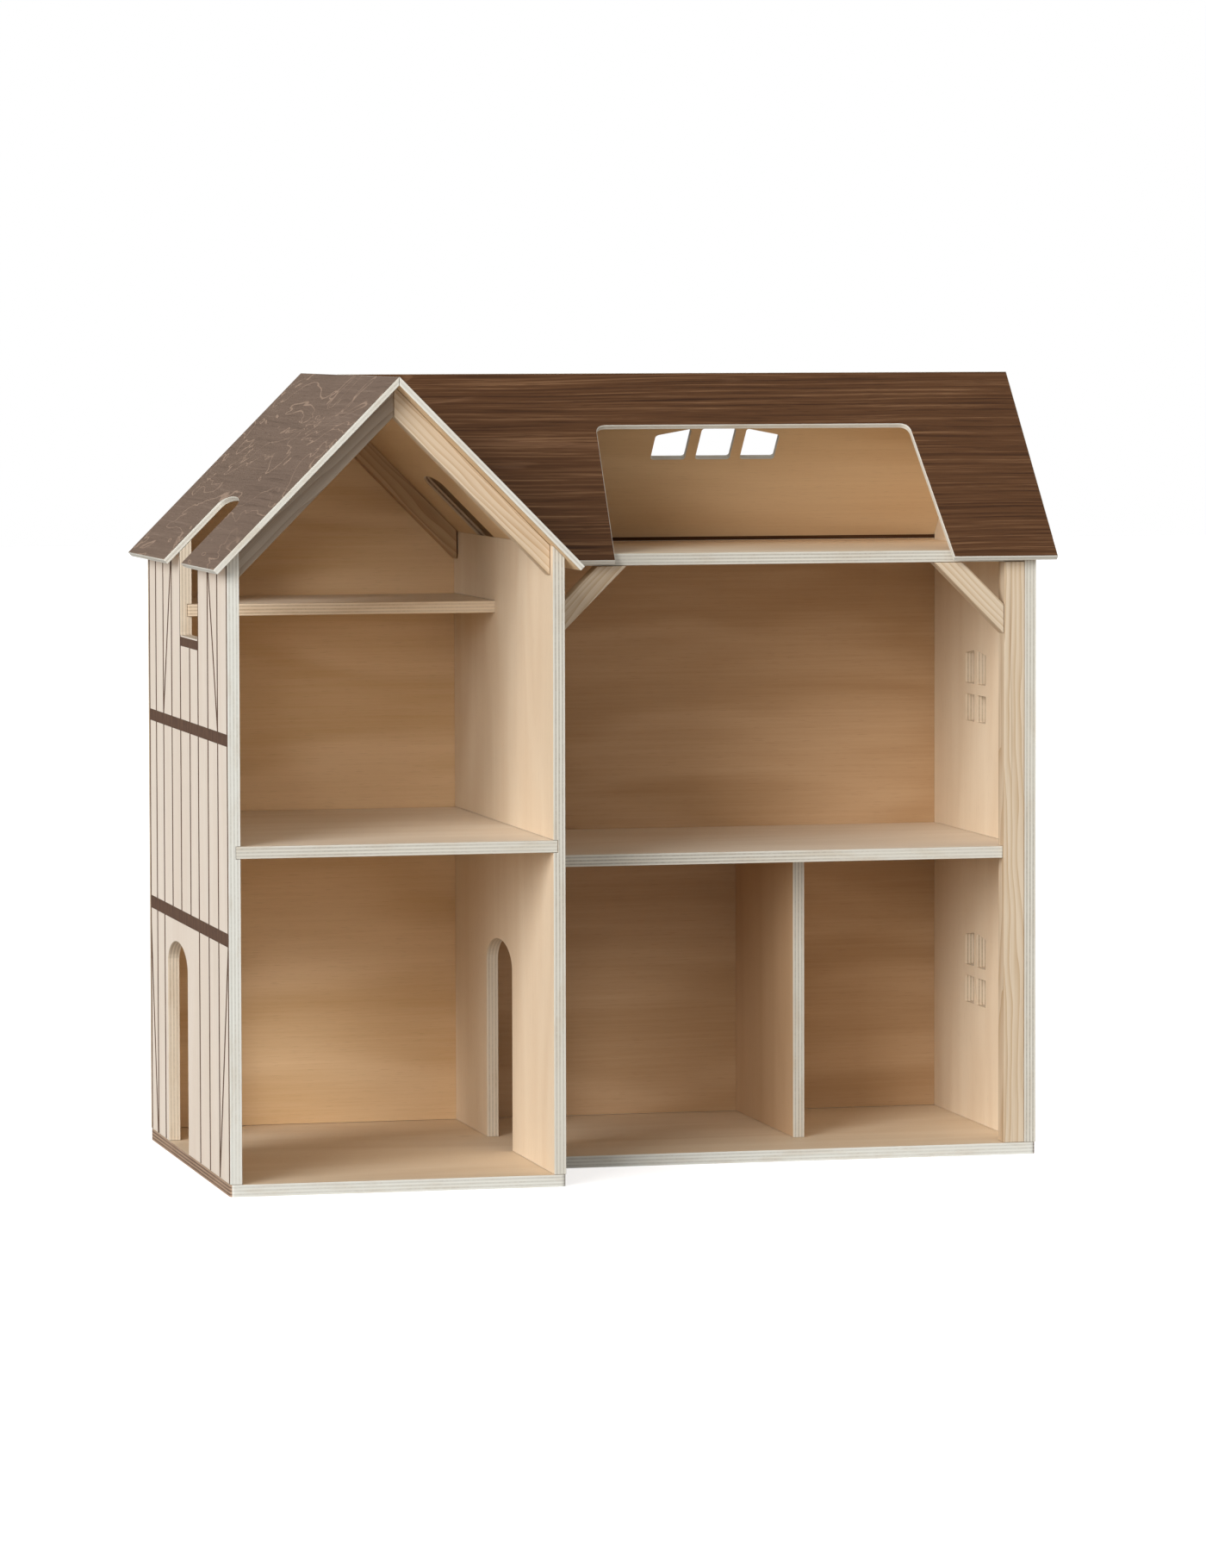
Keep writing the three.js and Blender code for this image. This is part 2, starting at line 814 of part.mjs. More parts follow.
function fixings() {
  const screws = [...baseScrews(), ...backScrews()];
  return group(
    ...screws.map((screw) =>
      piece(screw.name, screwSolid(screw.head, screw.direction, screw.length, 0), 'steel')),
    ...atticDowels().map((dowel) =>
      piece(dowel.name, dowelSolid(dowel.start, dowel.direction, 0), 'beech')),
  );
}

const house = group(body(), roofs(), pineMembers(), fixings());
const boxMiddleX = (bodyWidth + vergeOverhang - eaveOverhang) / 2;
const boxMiddleY = (bodyDepth + rearOverhang - vergeOverhang) / 2;
house.position.set(-boxMiddleX, -boxMiddleY, 0);

export default house;
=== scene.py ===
"""Wooden dollhouse: birch plywood, whitewashed edges, stained roofs, a scorched timber pattern."""

import math
import random

import bmesh
import bpy
from mathutils import Matrix, Vector


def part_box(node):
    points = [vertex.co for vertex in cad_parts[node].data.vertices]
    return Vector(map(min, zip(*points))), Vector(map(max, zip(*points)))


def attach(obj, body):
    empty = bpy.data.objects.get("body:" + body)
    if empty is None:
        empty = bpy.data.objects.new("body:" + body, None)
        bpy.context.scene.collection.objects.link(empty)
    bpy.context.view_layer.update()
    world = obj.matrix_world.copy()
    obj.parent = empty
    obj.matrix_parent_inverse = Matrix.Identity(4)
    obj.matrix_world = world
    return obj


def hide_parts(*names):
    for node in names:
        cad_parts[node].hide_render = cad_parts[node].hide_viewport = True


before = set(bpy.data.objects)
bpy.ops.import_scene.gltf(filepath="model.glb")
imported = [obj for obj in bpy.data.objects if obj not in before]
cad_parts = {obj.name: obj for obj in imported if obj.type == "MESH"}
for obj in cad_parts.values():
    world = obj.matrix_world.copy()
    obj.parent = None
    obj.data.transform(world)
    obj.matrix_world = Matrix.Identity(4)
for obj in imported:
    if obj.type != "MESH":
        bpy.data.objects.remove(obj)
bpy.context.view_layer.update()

MM = 0.001
EDGE_ROUNDING = 0.4 * MM
PINE_ROUNDING = 0.7 * MM
PINE_ROUNDING_STEPS = 3
GROOVE_DEPTH = 0.3 * MM
CORNER_JOIN = 0.002 * MM  # loose corners nearer than this are one corner
FLAT_WITHIN = math.radians(0.6)  # faces that differ by less are one flat face
SHARP_FROM = math.radians(30)  # edges that turn by more are rounded
PLY_ARRIS = 0.5 * MM  # narrower faces are the roundings, and are shaded smooth
PINE_ARRIS = 0.6 * MM
SPECK = 1e-9  # square metres; smaller faces are slivers of the cutting
ON_THE_LINE = 1e-7  # a corner this near to a cut lies on it

# How square a face has to be to a direction
FACE_TEST = 0.97  # to a board's normal, to count as veneer
OUTER_TEST = 0.9999  # to a wall's outside, to carry the half-timber pattern
SIDE_TEST = 0.6  # to the house's sides, to be a side of the base
JAMB_TEST = 0.7  # to the house's sides, to be a wall's face and not the side of an opening
SLOT_TEST = 0.9  # to the vertical, to be level and not the side of the slot

X = Vector((1, 0, 0))
Y = Vector((0, 1, 0))
Z = Vector((0, 0, 1))

SHEET_SHIFT = 9  # metres over which boards are set apart in the pattern, so that no two look alike

PLY = 9 * MM
BACK_PLY = 4 * MM
ROOF_PLY = 4.5 * MM
PLY_LAYERS = 7
THIN_PLY_LAYERS = 3

BASE_LOW, BASE_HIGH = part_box("base_board")
HOUSE_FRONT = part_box("wing_left_wall")[0].y

# Sockets of a Mix node, for colours and for numbers, and those of a Random Value node for numbers
COLOR_A, COLOR_B, COLOR_MIXED = 6, 7, 2
NUMBER_A, NUMBER_B, NUMBER_MIXED = 2, 3, 0
RANDOM_MAX, RANDOM_NUMBER = 3, 1

# How many times a pattern repeats in a metre: along the grain, across it and through the thickness
VENEER_FINE = (9.0, 430.0, 60.0)
VENEER_CLOUDS = (2.2, 7.0, 2.0)
VENEER_BANDS = (0.7, 38.0, 4.0)
VENEER_PORES = (70.0, 1500.0, 300.0)
VENEER_KNOTS = (6.5, 11.0, 1.0)
FIGURE = (1.9, 9.0, 1.0)
STAIN_WANDER = (3.0, 8.0, 2.0)
STAIN_FINE = (6.0, 420.0, 40.0)
STAIN_STRANDS = (2.2, 150.0, 8.0)
STAIN_CLOUDS = (2.4, 9.0, 3.0)
STAIN_CURLED_AREAS = (7.0, 11.0, 3.0)
STAIN_PORES = (55.0, 1300.0, 300.0)
EDGE_WANDER = (16.0, 16.0, 16.0)
EDGE_END_GRAIN = (500.0, 500.0, 260.0)
EDGE_LONG_GRAIN = (24.0, 24.0, 1400.0)
EDGE_PATCHES = (26.0, 26.0, 120.0)
EDGE_THIN_WASH = (2.6, 2.6, 2.6)
PINE_DRIFT = (3.2, 20.0, 20.0)
PINE_FINE = (10.0, 620.0, 620.0)
PINE_CLOUDS = (5.0, 60.0, 60.0)
PINE_STRANDS = (3.0, 240.0, 240.0)
PINE_RINGS = 240.0
BURNT_BLOTCHES = (55.0, 220.0, 120.0)
BURNT_GRAIN = (12.0, 600.0, 200.0)
ZINC_BLOOM = (900.0, 900.0, 900.0)
BEECH_FLECKS = (60.0, 900.0, 900.0)
BEECH_RINGS = (12.0, 300.0, 300.0)

KNOT = (0.16, 0.07, 0.03)


# ---------------------------------------------------------------- material building
class Recipe:
    """A material and the short calls that add nodes to it."""

    def __init__(self, name):
        self.material = bpy.data.materials.new(name)
        self.material.use_nodes = True
        self.tree = self.material.node_tree
        self.shader = self.tree.nodes["Principled BSDF"]

    def node(self, kind, **settings):
        made = self.tree.nodes.new(kind)
        for key, value in settings.items():
            setattr(made, key, value)
        return made

    def feed(self, socket, value):
        if isinstance(value, bpy.types.NodeSocket):
            self.tree.links.new(value, socket)
        elif isinstance(value, (tuple, list)) and len(value) == 3 and socket.type == "RGBA":
            socket.default_value = (*value, 1.0)
        else:
            socket.default_value = value

    def board(self):
        """Along the grain, across the grain and through the thickness, in metres."""
        found = self.node("ShaderNodeAttribute", attribute_name="board")
        return found.outputs["Vector"]

    def place(self):
        return self.node("ShaderNodeTexCoord").outputs["Object"]

    def parts(self, vector):
        split = self.node("ShaderNodeSeparateXYZ")
        self.feed(split.inputs[0], vector)
        return split.outputs[0], split.outputs[1], split.outputs[2]

    def joined(self, x, y, z):
        made = self.node("ShaderNodeCombineXYZ")
        for socket, value in zip(made.inputs, (x, y, z)):
            self.feed(socket, value)
        return made.outputs[0]

    def stretched(self, vector, scale, shift=(0.0, 0.0, 0.0)):
        made = self.node("ShaderNodeMapping")
        self.feed(made.inputs["Vector"], vector)
        made.inputs["Scale"].default_value = scale
        made.inputs["Location"].default_value = shift
        return made.outputs[0]

    def math(self, operation, a, b=0.0, clamp=False):
        made = self.node("ShaderNodeMath", operation=operation, use_clamp=clamp)
        self.feed(made.inputs[0], a)
        self.feed(made.inputs[1], b)
        return made.outputs[0]

    def scaled(self, value, gain, offset=0.0):
        made = self.node("ShaderNodeMath", operation="MULTIPLY_ADD")
        self.feed(made.inputs[0], value)
        self.feed(made.inputs[1], gain)
        self.feed(made.inputs[2], offset)
        return made.outputs[0]

    def between(self, value, low, high, out_low=0.0, out_high=1.0):
        made = self.node("ShaderNodeMapRange", interpolation_type="SMOOTHSTEP")
        self.feed(made.inputs["Value"], value)
        made.inputs["From Min"].default_value = low
        made.inputs["From Max"].default_value = high
        made.inputs["To Min"].default_value = out_low
        made.inputs["To Max"].default_value = out_high
        return made.outputs[0]

    def noise(self, vector, detail=2.0, roughness=0.5, distortion=0.0):
        made = self.node("ShaderNodeTexNoise")
        self.feed(made.inputs["Vector"], vector)
        made.inputs["Scale"].default_value = 1.0
        made.inputs["Detail"].default_value = detail
        made.inputs["Roughness"].default_value = roughness
        made.inputs["Distortion"].default_value = distortion
        return made.outputs["Fac"]

    def cells(self, vector):
        made = self.node("ShaderNodeTexVoronoi")
        self.feed(made.inputs["Vector"], vector)
        made.inputs["Scale"].default_value = 1.0
        return made.outputs["Distance"], made.outputs["Color"]

    def mixed(self, factor, a, b):
        made = self.node("ShaderNodeMix", data_type="RGBA")
        self.feed(made.inputs["Factor"], factor)
        self.feed(made.inputs[COLOR_A], a)
        self.feed(made.inputs[COLOR_B], b)
        return made.outputs[COLOR_MIXED]

    def mixed_number(self, factor, a, b):
        made = self.node("ShaderNodeMix", data_type="FLOAT")
        self.feed(made.inputs["Factor"], factor)
        self.feed(made.inputs[NUMBER_A], a)
        self.feed(made.inputs[NUMBER_B], b)
        return made.outputs[NUMBER_MIXED]

    def finish(self, color, roughness, height, depth, strength, specular):
        self.feed(self.shader.inputs["Base Color"], color)
        self.feed(self.shader.inputs["Roughness"], roughness)
        self.shader.inputs["Specular IOR Level"].default_value = specular
        bump = self.node("ShaderNodeBump")
        bump.inputs["Strength"].default_value = strength
        bump.inputs["Distance"].default_value = depth
        self.feed(bump.inputs["Height"], height)
        self.tree.links.new(bump.outputs[0], self.shader.inputs["Normal"])
        return self.material


def grown_figure(r, board, turns=34.0):
    """The wandering contour lines that rotary cutting leaves in a veneer."""
    field = r.noise(r.stretched(board, FIGURE), detail=2.5, roughness=0.5, distortion=0.25)
    wave = r.math("SINE", r.math("MULTIPLY", field, turns))
    return r.scaled(wave, 0.5, 0.5)


def veneer(name, pale, deep, streaks=0.55, figure=0.30, tone=0.5, rough=0.6):
    """Clear-lacquered natural veneer: figure, streaks, pores and small pin knots."""
    r = Recipe(name)
    board = r.board()
    rings = grown_figure(r, board)
    fine = r.noise(r.stretched(board, VENEER_FINE), detail=3.0, roughness=0.6)
    clouds = r.noise(r.stretched(board, VENEER_CLOUDS, (3.1, 1.7, 0.0)), detail=3.0, roughness=0.55)
    bands = r.noise(r.stretched(board, VENEER_BANDS, (0.0, 5.0, 0.0)), detail=2.0, roughness=0.5)
    pores = r.between(r.noise(r.stretched(board, VENEER_PORES), detail=1.0), 0.62, 0.72)
    amount = r.scaled(rings, figure, 0.5 - figure * 0.5)
    amount = r.math("ADD", amount, r.scaled(fine, streaks, -streaks * 0.5))
    amount = r.math("ADD", amount, r.scaled(clouds, tone * 1.6, -tone * 0.8))
    amount = r.math("ADD", amount, r.scaled(bands, tone, -tone * 0.5), clamp=True)
    color = r.mixed(amount, deep, pale)
    color = r.mixed(r.math("MULTIPLY", pores, 0.22), color, r.mixed(0.5, deep, KNOT))
    distance, cell = r.cells(r.stretched(board, VENEER_KNOTS))
    chosen = r.between(r.parts(cell)[0], 0.80, 0.82)
    spot = r.between(distance, 0.008, 0.022, 1.0, 0.0)
    halo = r.between(distance, 0.015, 0.07, 0.3, 0.0)
    color = r.mixed(r.math("MULTIPLY", chosen, r.math("MAXIMUM", spot, halo)), color, KNOT)
    height = r.math("ADD", r.scaled(fine, 0.7), r.scaled(pores, -0.5))
    roughness = r.scaled(fine, 0.12, rough - 0.06)
    return r.finish(color, roughness, height, depth=0.12 * MM, strength=0.35, specular=0.35)


def stained(
    name, dark, mid, light, streaks, curl, curled, curl_color, spread, turns=34.0, rough=0.55,
    gloss=0.2,
):
    """Stained veneer: the stain bites deep in the soft grain and the hard curls stay pale."""
    r = Recipe(name)
    board = r.board()
    wander = r.noise(r.stretched(board, STAIN_WANDER))
    along, across, through = r.parts(board)
    swayed = r.joined(along, r.scaled(wander, 0.016, across), through)
    fine = r.noise(r.stretched(swayed, STAIN_FINE), detail=4.0, roughness=0.7)
    strand_place = r.stretched(swayed, STAIN_STRANDS, (2.0, 9.0, 0.0))
    strands = r.noise(strand_place, detail=3.0, roughness=0.6)
    clouds = r.noise(r.stretched(board, STAIN_CLOUDS, (7.0, 3.0, 0.0)), detail=3.0, roughness=0.6)
    amount = r.scaled(fine, streaks * 1.6, 0.5 - streaks * 0.8)
    amount = r.math("ADD", amount, r.scaled(strands, 0.5, -0.25))
    amount = r.math("ADD", amount, r.scaled(clouds, 0.45, -0.225), clamp=True)
    color = r.mixed(r.between(amount, 0.0, 0.5), dark, mid)
    color = r.mixed(r.between(amount, 0.5, 1.0), color, light)
    swirl_place = r.stretched(swayed, (*curl, 2.0), (1.0, 4.0, 0.0))
    swirl = r.noise(swirl_place, detail=3.5, roughness=0.55, distortion=0.7)
    contour = r.math("SINE", r.scaled(swirl, turns))
    where = r.noise(r.stretched(board, STAIN_CURLED_AREAS, (5.0, 8.0, 0.0)))
    mask = r.math("MULTIPLY", r.between(contour, 0.945, 0.997), r.between(where, *spread))
    color = r.mixed(r.math("MULTIPLY", mask, curled), color, curl_color)
    pores = r.between(r.noise(r.stretched(swayed, STAIN_PORES), detail=1.0), 0.60, 0.70)
    color = r.mixed(r.math("MULTIPLY", pores, 0.35), color, dark)
    height = r.math("ADD", r.scaled(fine, 0.8), r.scaled(pores, -0.6))
    roughness = r.scaled(amount, 0.16, rough - 0.06)
    return r.finish(color, roughness, height, depth=0.16 * MM, strength=0.45, specular=gloss)


def ply_edge(name, thickness, layers, wash, raw, glue, worn=0.5, crossed=0.5):
    """A sawn plywood edge under a thin wash: pale long layers, grey cross layers, rubbed places."""
    r = Recipe(name)
    board = r.board()
    through = r.parts(board)[2]
    wander = r.noise(r.stretched(board, EDGE_WANDER))
    layer = r.scaled(through, layers / thickness, r.scaled(wander, 0.3, -0.15))
    pair = r.math("FRACT", r.scaled(layer, 0.5))
    from_cross = r.math("ABSOLUTE", r.scaled(pair, 1.0, -0.75))
    cross = r.between(from_cross, 0.15, 0.27, 1.0, 0.0)
    rising = r.between(from_cross, 0.17, 0.24)
    falling = r.between(from_cross, 0.26, 0.33, 1.0, 0.0)
    rim = r.math("MULTIPLY", rising, falling)
    end_grain = r.noise(r.stretched(board, EDGE_END_GRAIN), detail=2.0, roughness=0.6)
    long_grain = r.noise(r.stretched(board, EDGE_LONG_GRAIN), detail=3.0, roughness=0.6)
    grain = r.mixed_number(cross, long_grain, end_grain)
    patches = r.noise(r.stretched(board, EDGE_PATCHES, (4.0, 2.0, 0.0)), detail=3.0, roughness=0.6)
    thin = r.noise(r.stretched(board, EDGE_THIN_WASH, (1.0, 6.0, 0.0)))
    rubbed = r.math("MULTIPLY", r.between(patches, 0.42, 0.75), worn)
    rubbed = r.math("ADD", rubbed, r.scaled(grain, 0.6, -0.3), clamp=True)
    color = r.mixed(rubbed, wash, raw)
    bitten = r.math("MULTIPLY", cross, r.between(thin, 0.32, 0.62, crossed * 0.3, crossed))
    bitten = r.math("MULTIPLY", bitten, r.scaled(end_grain, 1.0, 0.5), clamp=True)
    color = r.mixed(bitten, color, glue)
    color = r.mixed(r.math("MULTIPLY", rim, crossed * 0.5), color, glue)
    height = r.math("ADD", r.scaled(grain, 0.6), r.scaled(cross, -0.6))
    roughness = r.scaled(grain, 0.15, 0.62)
    return r.finish(color, roughness, height, depth=0.14 * MM, strength=0.4, specular=0.3)


def pine(name, pale, late, dark, rough=0.55):
    """Planed pine: rings round a pith outside the stick, as lines on faces and arcs at ends."""
    r = Recipe(name)
    board = r.board()
    along, across, through = r.parts(board)
    drift = r.noise(r.stretched(board, PINE_DRIFT), detail=3.0, roughness=0.55)
    sideways = r.math("ADD", across, r.scaled(drift, 0.034, 0.002))
    deep = r.math("ADD", through, r.scaled(along, 0.035, 0.021))
    squares = r.math("ADD", r.math("MULTIPLY", sideways, sideways), r.math("MULTIPLY", deep, deep))
    ring = r.math("FRACT", r.math("MULTIPLY", r.math("SQRT", squares), PINE_RINGS))
    season = r.math("POWER", ring, 1.9)
    fine = r.noise(r.stretched(board, PINE_FINE), detail=3.0, roughness=0.65)
    clouds = r.noise(r.stretched(board, PINE_CLOUDS))
    strand = r.noise(r.stretched(board, PINE_STRANDS, (3.0, 0.0, 2.0)), detail=2.0, roughness=0.6)
    amount = r.scaled(season, 0.75)
    amount = r.math("ADD", amount, r.scaled(fine, 0.7, -0.35))
    amount = r.math("ADD", amount, r.scaled(clouds, 0.9, -0.42), clamp=True)
    color = r.mixed(amount, pale, late)
    color = r.mixed(r.between(strand, 0.60, 0.74, 0.0, 0.75), color, dark)
    height = r.math("ADD", r.scaled(season, 0.6), r.scaled(fine, 0.6))
    roughness = r.scaled(fine, 0.12, rough - 0.06)
    return r.finish(color, roughness, height, depth=0.12 * MM, strength=0.4, specular=0.4)


def scorched(name, dark, mid):
    """The burnt floor of a groove, blotchy and matt."""
    r = Recipe(name)
    board = r.board()
    blotch = r.noise(r.stretched(board, BURNT_BLOTCHES), detail=4.0, roughness=0.65)
    grain = r.noise(r.stretched(board, BURNT_GRAIN), detail=3.0)
    amount = r.math("ADD", r.scaled(blotch, 1.4, -0.35), r.scaled(grain, 0.5, -0.25), clamp=True)
    color = r.mixed(amount, dark, mid)
    roughness = r.scaled(blotch, 0.2, 0.65)
    return r.finish(color, roughness, grain, depth=0.1 * MM, strength=0.4, specular=0.2)


def zinc(name):
    """Bright zinc plating with a fine bloom."""
    r = Recipe(name)
    place = r.place()
    bloom = r.noise(r.stretched(place, ZINC_BLOOM), detail=3.0, roughness=0.6)
    color = r.mixed(bloom, (0.50, 0.50, 0.48), (0.72, 0.72, 0.70))
    r.shader.inputs["Metallic"].default_value = 1.0
    roughness = r.scaled(bloom, 0.3, 0.22)
    return r.finish(color, roughness, bloom, depth=0.02 * MM, strength=0.3, specular=0.5)


def turned_beech(name):
    """Plain beech with short dark flecks along the dowel."""
    r = Recipe(name)
    place = r.place()
    flecks = r.noise(r.stretched(place, BEECH_FLECKS), detail=3.0, roughness=0.6)
    rings = r.noise(r.stretched(place, BEECH_RINGS))
    color = r.mixed(r.scaled(rings, 0.9, 0.05), (0.52, 0.34, 0.19), (0.68, 0.50, 0.32))
    color = r.mixed(r.between(flecks, 0.6, 0.7), color, (0.33, 0.18, 0.09))
    roughness = r.scaled(flecks, 0.1, 0.6)
    return r.finish(color, roughness, flecks, depth=0.05 * MM, strength=0.3, specular=0.3)


BIRCH_WALL = veneer("birch_wall", (0.84, 0.71, 0.54), (0.73, 0.57, 0.40))
BIRCH_ROOF = veneer("birch_roof", (0.82, 0.62, 0.39), (0.68, 0.47, 0.26), figure=0.34, tone=0.6)
# Darker and more orange than the walls' veneer: partly the sheet's tone, partly painted shade at
# the back of the wing's rooms
BIRCH_BACK_PART_SHADE = veneer(
    "birch_back_part_painted_shade", (0.83, 0.595, 0.355), (0.68, 0.445, 0.225), figure=0.6, streaks=0.8, tone=0.6
)
# A deeper veneer for the main back panel's inside: partly the sheet's tone, partly painted shade at
# the back of the main rooms
TAN_BACK_PART_SHADE = veneer(
    "tan_back_part_painted_shade", (0.58, 0.38, 0.215), (0.45, 0.27, 0.13), figure=0.6, streaks=0.8, tone=0.6
)
# A deeper veneer for the partition's left face: partly the sheet's tone, partly painted shade
TAN_WALL_PART_SHADE = veneer("tan_wall_part_painted_shade", (0.66, 0.46, 0.285), (0.56, 0.36, 0.20))
BIRCH_FLOOR = veneer("birch_floor", (0.85, 0.70, 0.52), (0.74, 0.57, 0.38))
# A paler veneer for the mid floors and the wing's shelf: partly the sheets' tone, partly painted
# light
PALE_FLOOR_PART_LIGHT = veneer("pale_floor_part_painted_light", (0.88, 0.77, 0.63), (0.78, 0.65, 0.50))
CREAM_PLANK = veneer(
    "cream_plank", (0.81, 0.72, 0.62), (0.71, 0.595, 0.485),
    streaks=0.7, figure=0.22, tone=0.35, rough=0.62,
)
SCORCHED = scorched("scorched_groove", (0.070, 0.034, 0.020), (0.19, 0.108, 0.066))
# The wing roofs' stain, paler and greyer than the main roof's: partly the stain, partly a painted
# sheen where these roofs face the lamp
WING_STAIN_AND_SHEEN = stained(
    "wing_stain_and_painted_sheen", (0.100, 0.061, 0.038), (0.190, 0.128, 0.091), (0.28, 0.20, 0.150),
    streaks=0.75, curl=(7.0, 20.0), curled=0.8, curl_color=(0.39, 0.27, 0.195),
    spread=(0.27, 0.47), turns=44.0,
)
MAIN_STAIN = stained(
    "main_stain", (0.038, 0.015, 0.0058), (0.098, 0.0425, 0.0172), (0.22, 0.115, 0.056),
    streaks=1.35, curl=(1.8, 11.0), curled=0.25, curl_color=(0.30, 0.16, 0.085),
    spread=(0.52, 0.60), rough=0.62, gloss=0.12,
)
WALL_EDGE = ply_edge(
    "wall_edge", PLY, PLY_LAYERS, (0.645, 0.615, 0.535), (0.56, 0.48, 0.37), (0.26, 0.22, 0.18)
)
WHITE_EDGE = ply_edge(
    "white_edge", PLY, PLY_LAYERS, (0.71, 0.70, 0.635), (0.60, 0.53, 0.43), (0.30, 0.26, 0.22),
    crossed=0.3,
)
JAMB_EDGE = ply_edge(
    "jamb_edge", PLY, PLY_LAYERS, (0.68, 0.58, 0.45), (0.56, 0.44, 0.31), (0.25, 0.18, 0.13)
)
BARE_EDGE = ply_edge(
    "bare_edge", PLY, PLY_LAYERS, (0.72, 0.58, 0.42), (0.58, 0.42, 0.27), (0.26, 0.16, 0.09)
)
BROWN_EDGE = ply_edge(
    "brown_edge", PLY, PLY_LAYERS, (0.43, 0.29, 0.195), (0.29, 0.18, 0.11), (0.065, 0.034, 0.022),
    crossed=0.95,
)
ROOF_EDGE = ply_edge(
    "roof_edge", ROOF_PLY, THIN_PLY_LAYERS,
    (0.70, 0.675, 0.60), (0.56, 0.47, 0.35), (0.34, 0.29, 0.23),
    crossed=0.4,
)
# Bare thin-ply edge, dark: partly the unwashed wood, partly painted shade inside the slot between
# the attics
BARE_ROOF_EDGE_AND_SHADE = ply_edge(
    "bare_roof_edge_and_painted_shade", ROOF_PLY, THIN_PLY_LAYERS,
    (0.60, 0.45, 0.30), (0.50, 0.34, 0.20), (0.14, 0.08, 0.05),
    crossed=0.9,
)
BACK_EDGE = ply_edge(
    "back_edge", BACK_PLY, THIN_PLY_LAYERS,
    (0.66, 0.56, 0.43), (0.52, 0.40, 0.27), (0.26, 0.18, 0.12),
)
PINE_STICK = pine("pine_stick", (0.63, 0.51, 0.37), (0.45, 0.30, 0.165), (0.26, 0.15, 0.075))
# Pine darkened to grey-brown: painted shade, the shadow of the roof's overhang on the front left
# rafter
PINE_IN_PAINTED_SHADE = pine("pine_in_painted_shade", (0.37, 0.30, 0.23), (0.24, 0.175, 0.12), (0.14, 0.09, 0.055))
# Browner, darker pine for the rear rafters: partly the wood's tone, partly painted shade at the
# back of the attic
DEEP_PINE_PART_SHADE = pine("deep_pine_part_painted_shade", (0.56, 0.38, 0.21), (0.38, 0.225, 0.105), (0.20, 0.10, 0.045))
ZINC = zinc("zinc_plate")
BEECH = turned_beech("turned_beech")


# ---------------------------------------------------------------- mesh building
def fresh_copy(node):
    """The node's shape with its loose triangles joined and its flat faces made whole."""
    shape = bmesh.new()
    shape.from_mesh(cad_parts[node].data)
    bmesh.ops.remove_doubles(shape, verts=shape.verts, dist=CORNER_JOIN)
    bmesh.ops.dissolve_limit(
        shape,
        angle_limit=FLAT_WITHIN,
        verts=shape.verts,
        edges=shape.edges,
        use_dissolve_boundaries=False,
    )
    shape.normal_update()
    return shape


def sharp_edges(shape):
    joined = (e for e in shape.edges if len(e.link_faces) == 2)
    return [e for e in joined if e.calc_face_angle(0.0) > SHARP_FROM]


def ease_edges(shape, radius, segments=2):
    bmesh.ops.bevel(
        shape,
        geom=sharp_edges(shape),
        offset=radius,
        offset_type="OFFSET",
        segments=segments,
        profile=0.5,
        affect="EDGES",
        clamp_overlap=True,
    )
    shape.normal_update()


def is_narrow(face, width):
    return face.calc_area() < width * max(e.calc_length() for e in face.edges)


def with_rims(faces):
    """The faces with their edges and corners, each once and always in the same order."""
    return list(dict.fromkeys(part for f in faces for part in (f, *f.edges, *f.verts)))


def give_board_coordinates(mesh, normal, grain, seed):
    """Writes each point's place along the grain, across it and through the thickness."""
    draw = random.Random(seed)
    shift = Vector((draw.uniform(0, SHEET_SHIFT), draw.uniform(0, SHEET_SHIFT)))
    across = normal.cross(grain).normalized()
    depths = [v.co.dot(normal) for v in mesh.vertices]
    lowest = min(depths)
    attribute = mesh.attributes.new("board", "FLOAT_VECTOR", "POINT")
    for v, depth, slot in zip(mesh.vertices, depths, attribute.data):
        slot.vector = (v.co.dot(grain) + shift.x, v.co.dot(across) + shift.y, depth - lowest)


def handed_over(name, mesh, slot, *replaced):
    """Puts a mesh in the scene as a piece that stands in for its nodes."""
    piece = bpy.data.objects.new(name, mesh)
    bpy.context.scene.collection.objects.link(piece)
    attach(piece, "root")
    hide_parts(*replaced)
    return piece


def finished_piece(name, shape, materials, slot, *replaced):
    mesh = bpy.data.meshes.new(name)
    shape.to_mesh(mesh)
    shape.free()
    for material in materials:
        mesh.materials.append(material)
    return handed_over(name, mesh, slot, *replaced)


def plywood(node, normal, grain, front, back, edge, slot="ply", recut=None, edge_for=None):
    """A board cut from plywood: veneer on its two faces, layers on its edges."""
    shape = fresh_copy(node)
    ease_edges(shape, EDGE_ROUNDING)
    palette = [front, back, edge]
    for face in shape.faces:
        facing = face.normal.dot(normal)
        if facing > FACE_TEST:
            face.material_index = 0
        elif facing < -FACE_TEST:
            face.material_index = 1
        else:
            chosen = (edge_for and edge_for(face)) or edge
            if chosen not in palette:
                palette.append(chosen)
            face.material_index = palette.index(chosen)
            face.smooth = is_narrow(face, PLY_ARRIS)
    if recut:
        recut(shape, palette)
    piece = finished_piece(node + "_board", shape, palette, slot, node)
    give_board_coordinates(piece.data, normal, grain, node)


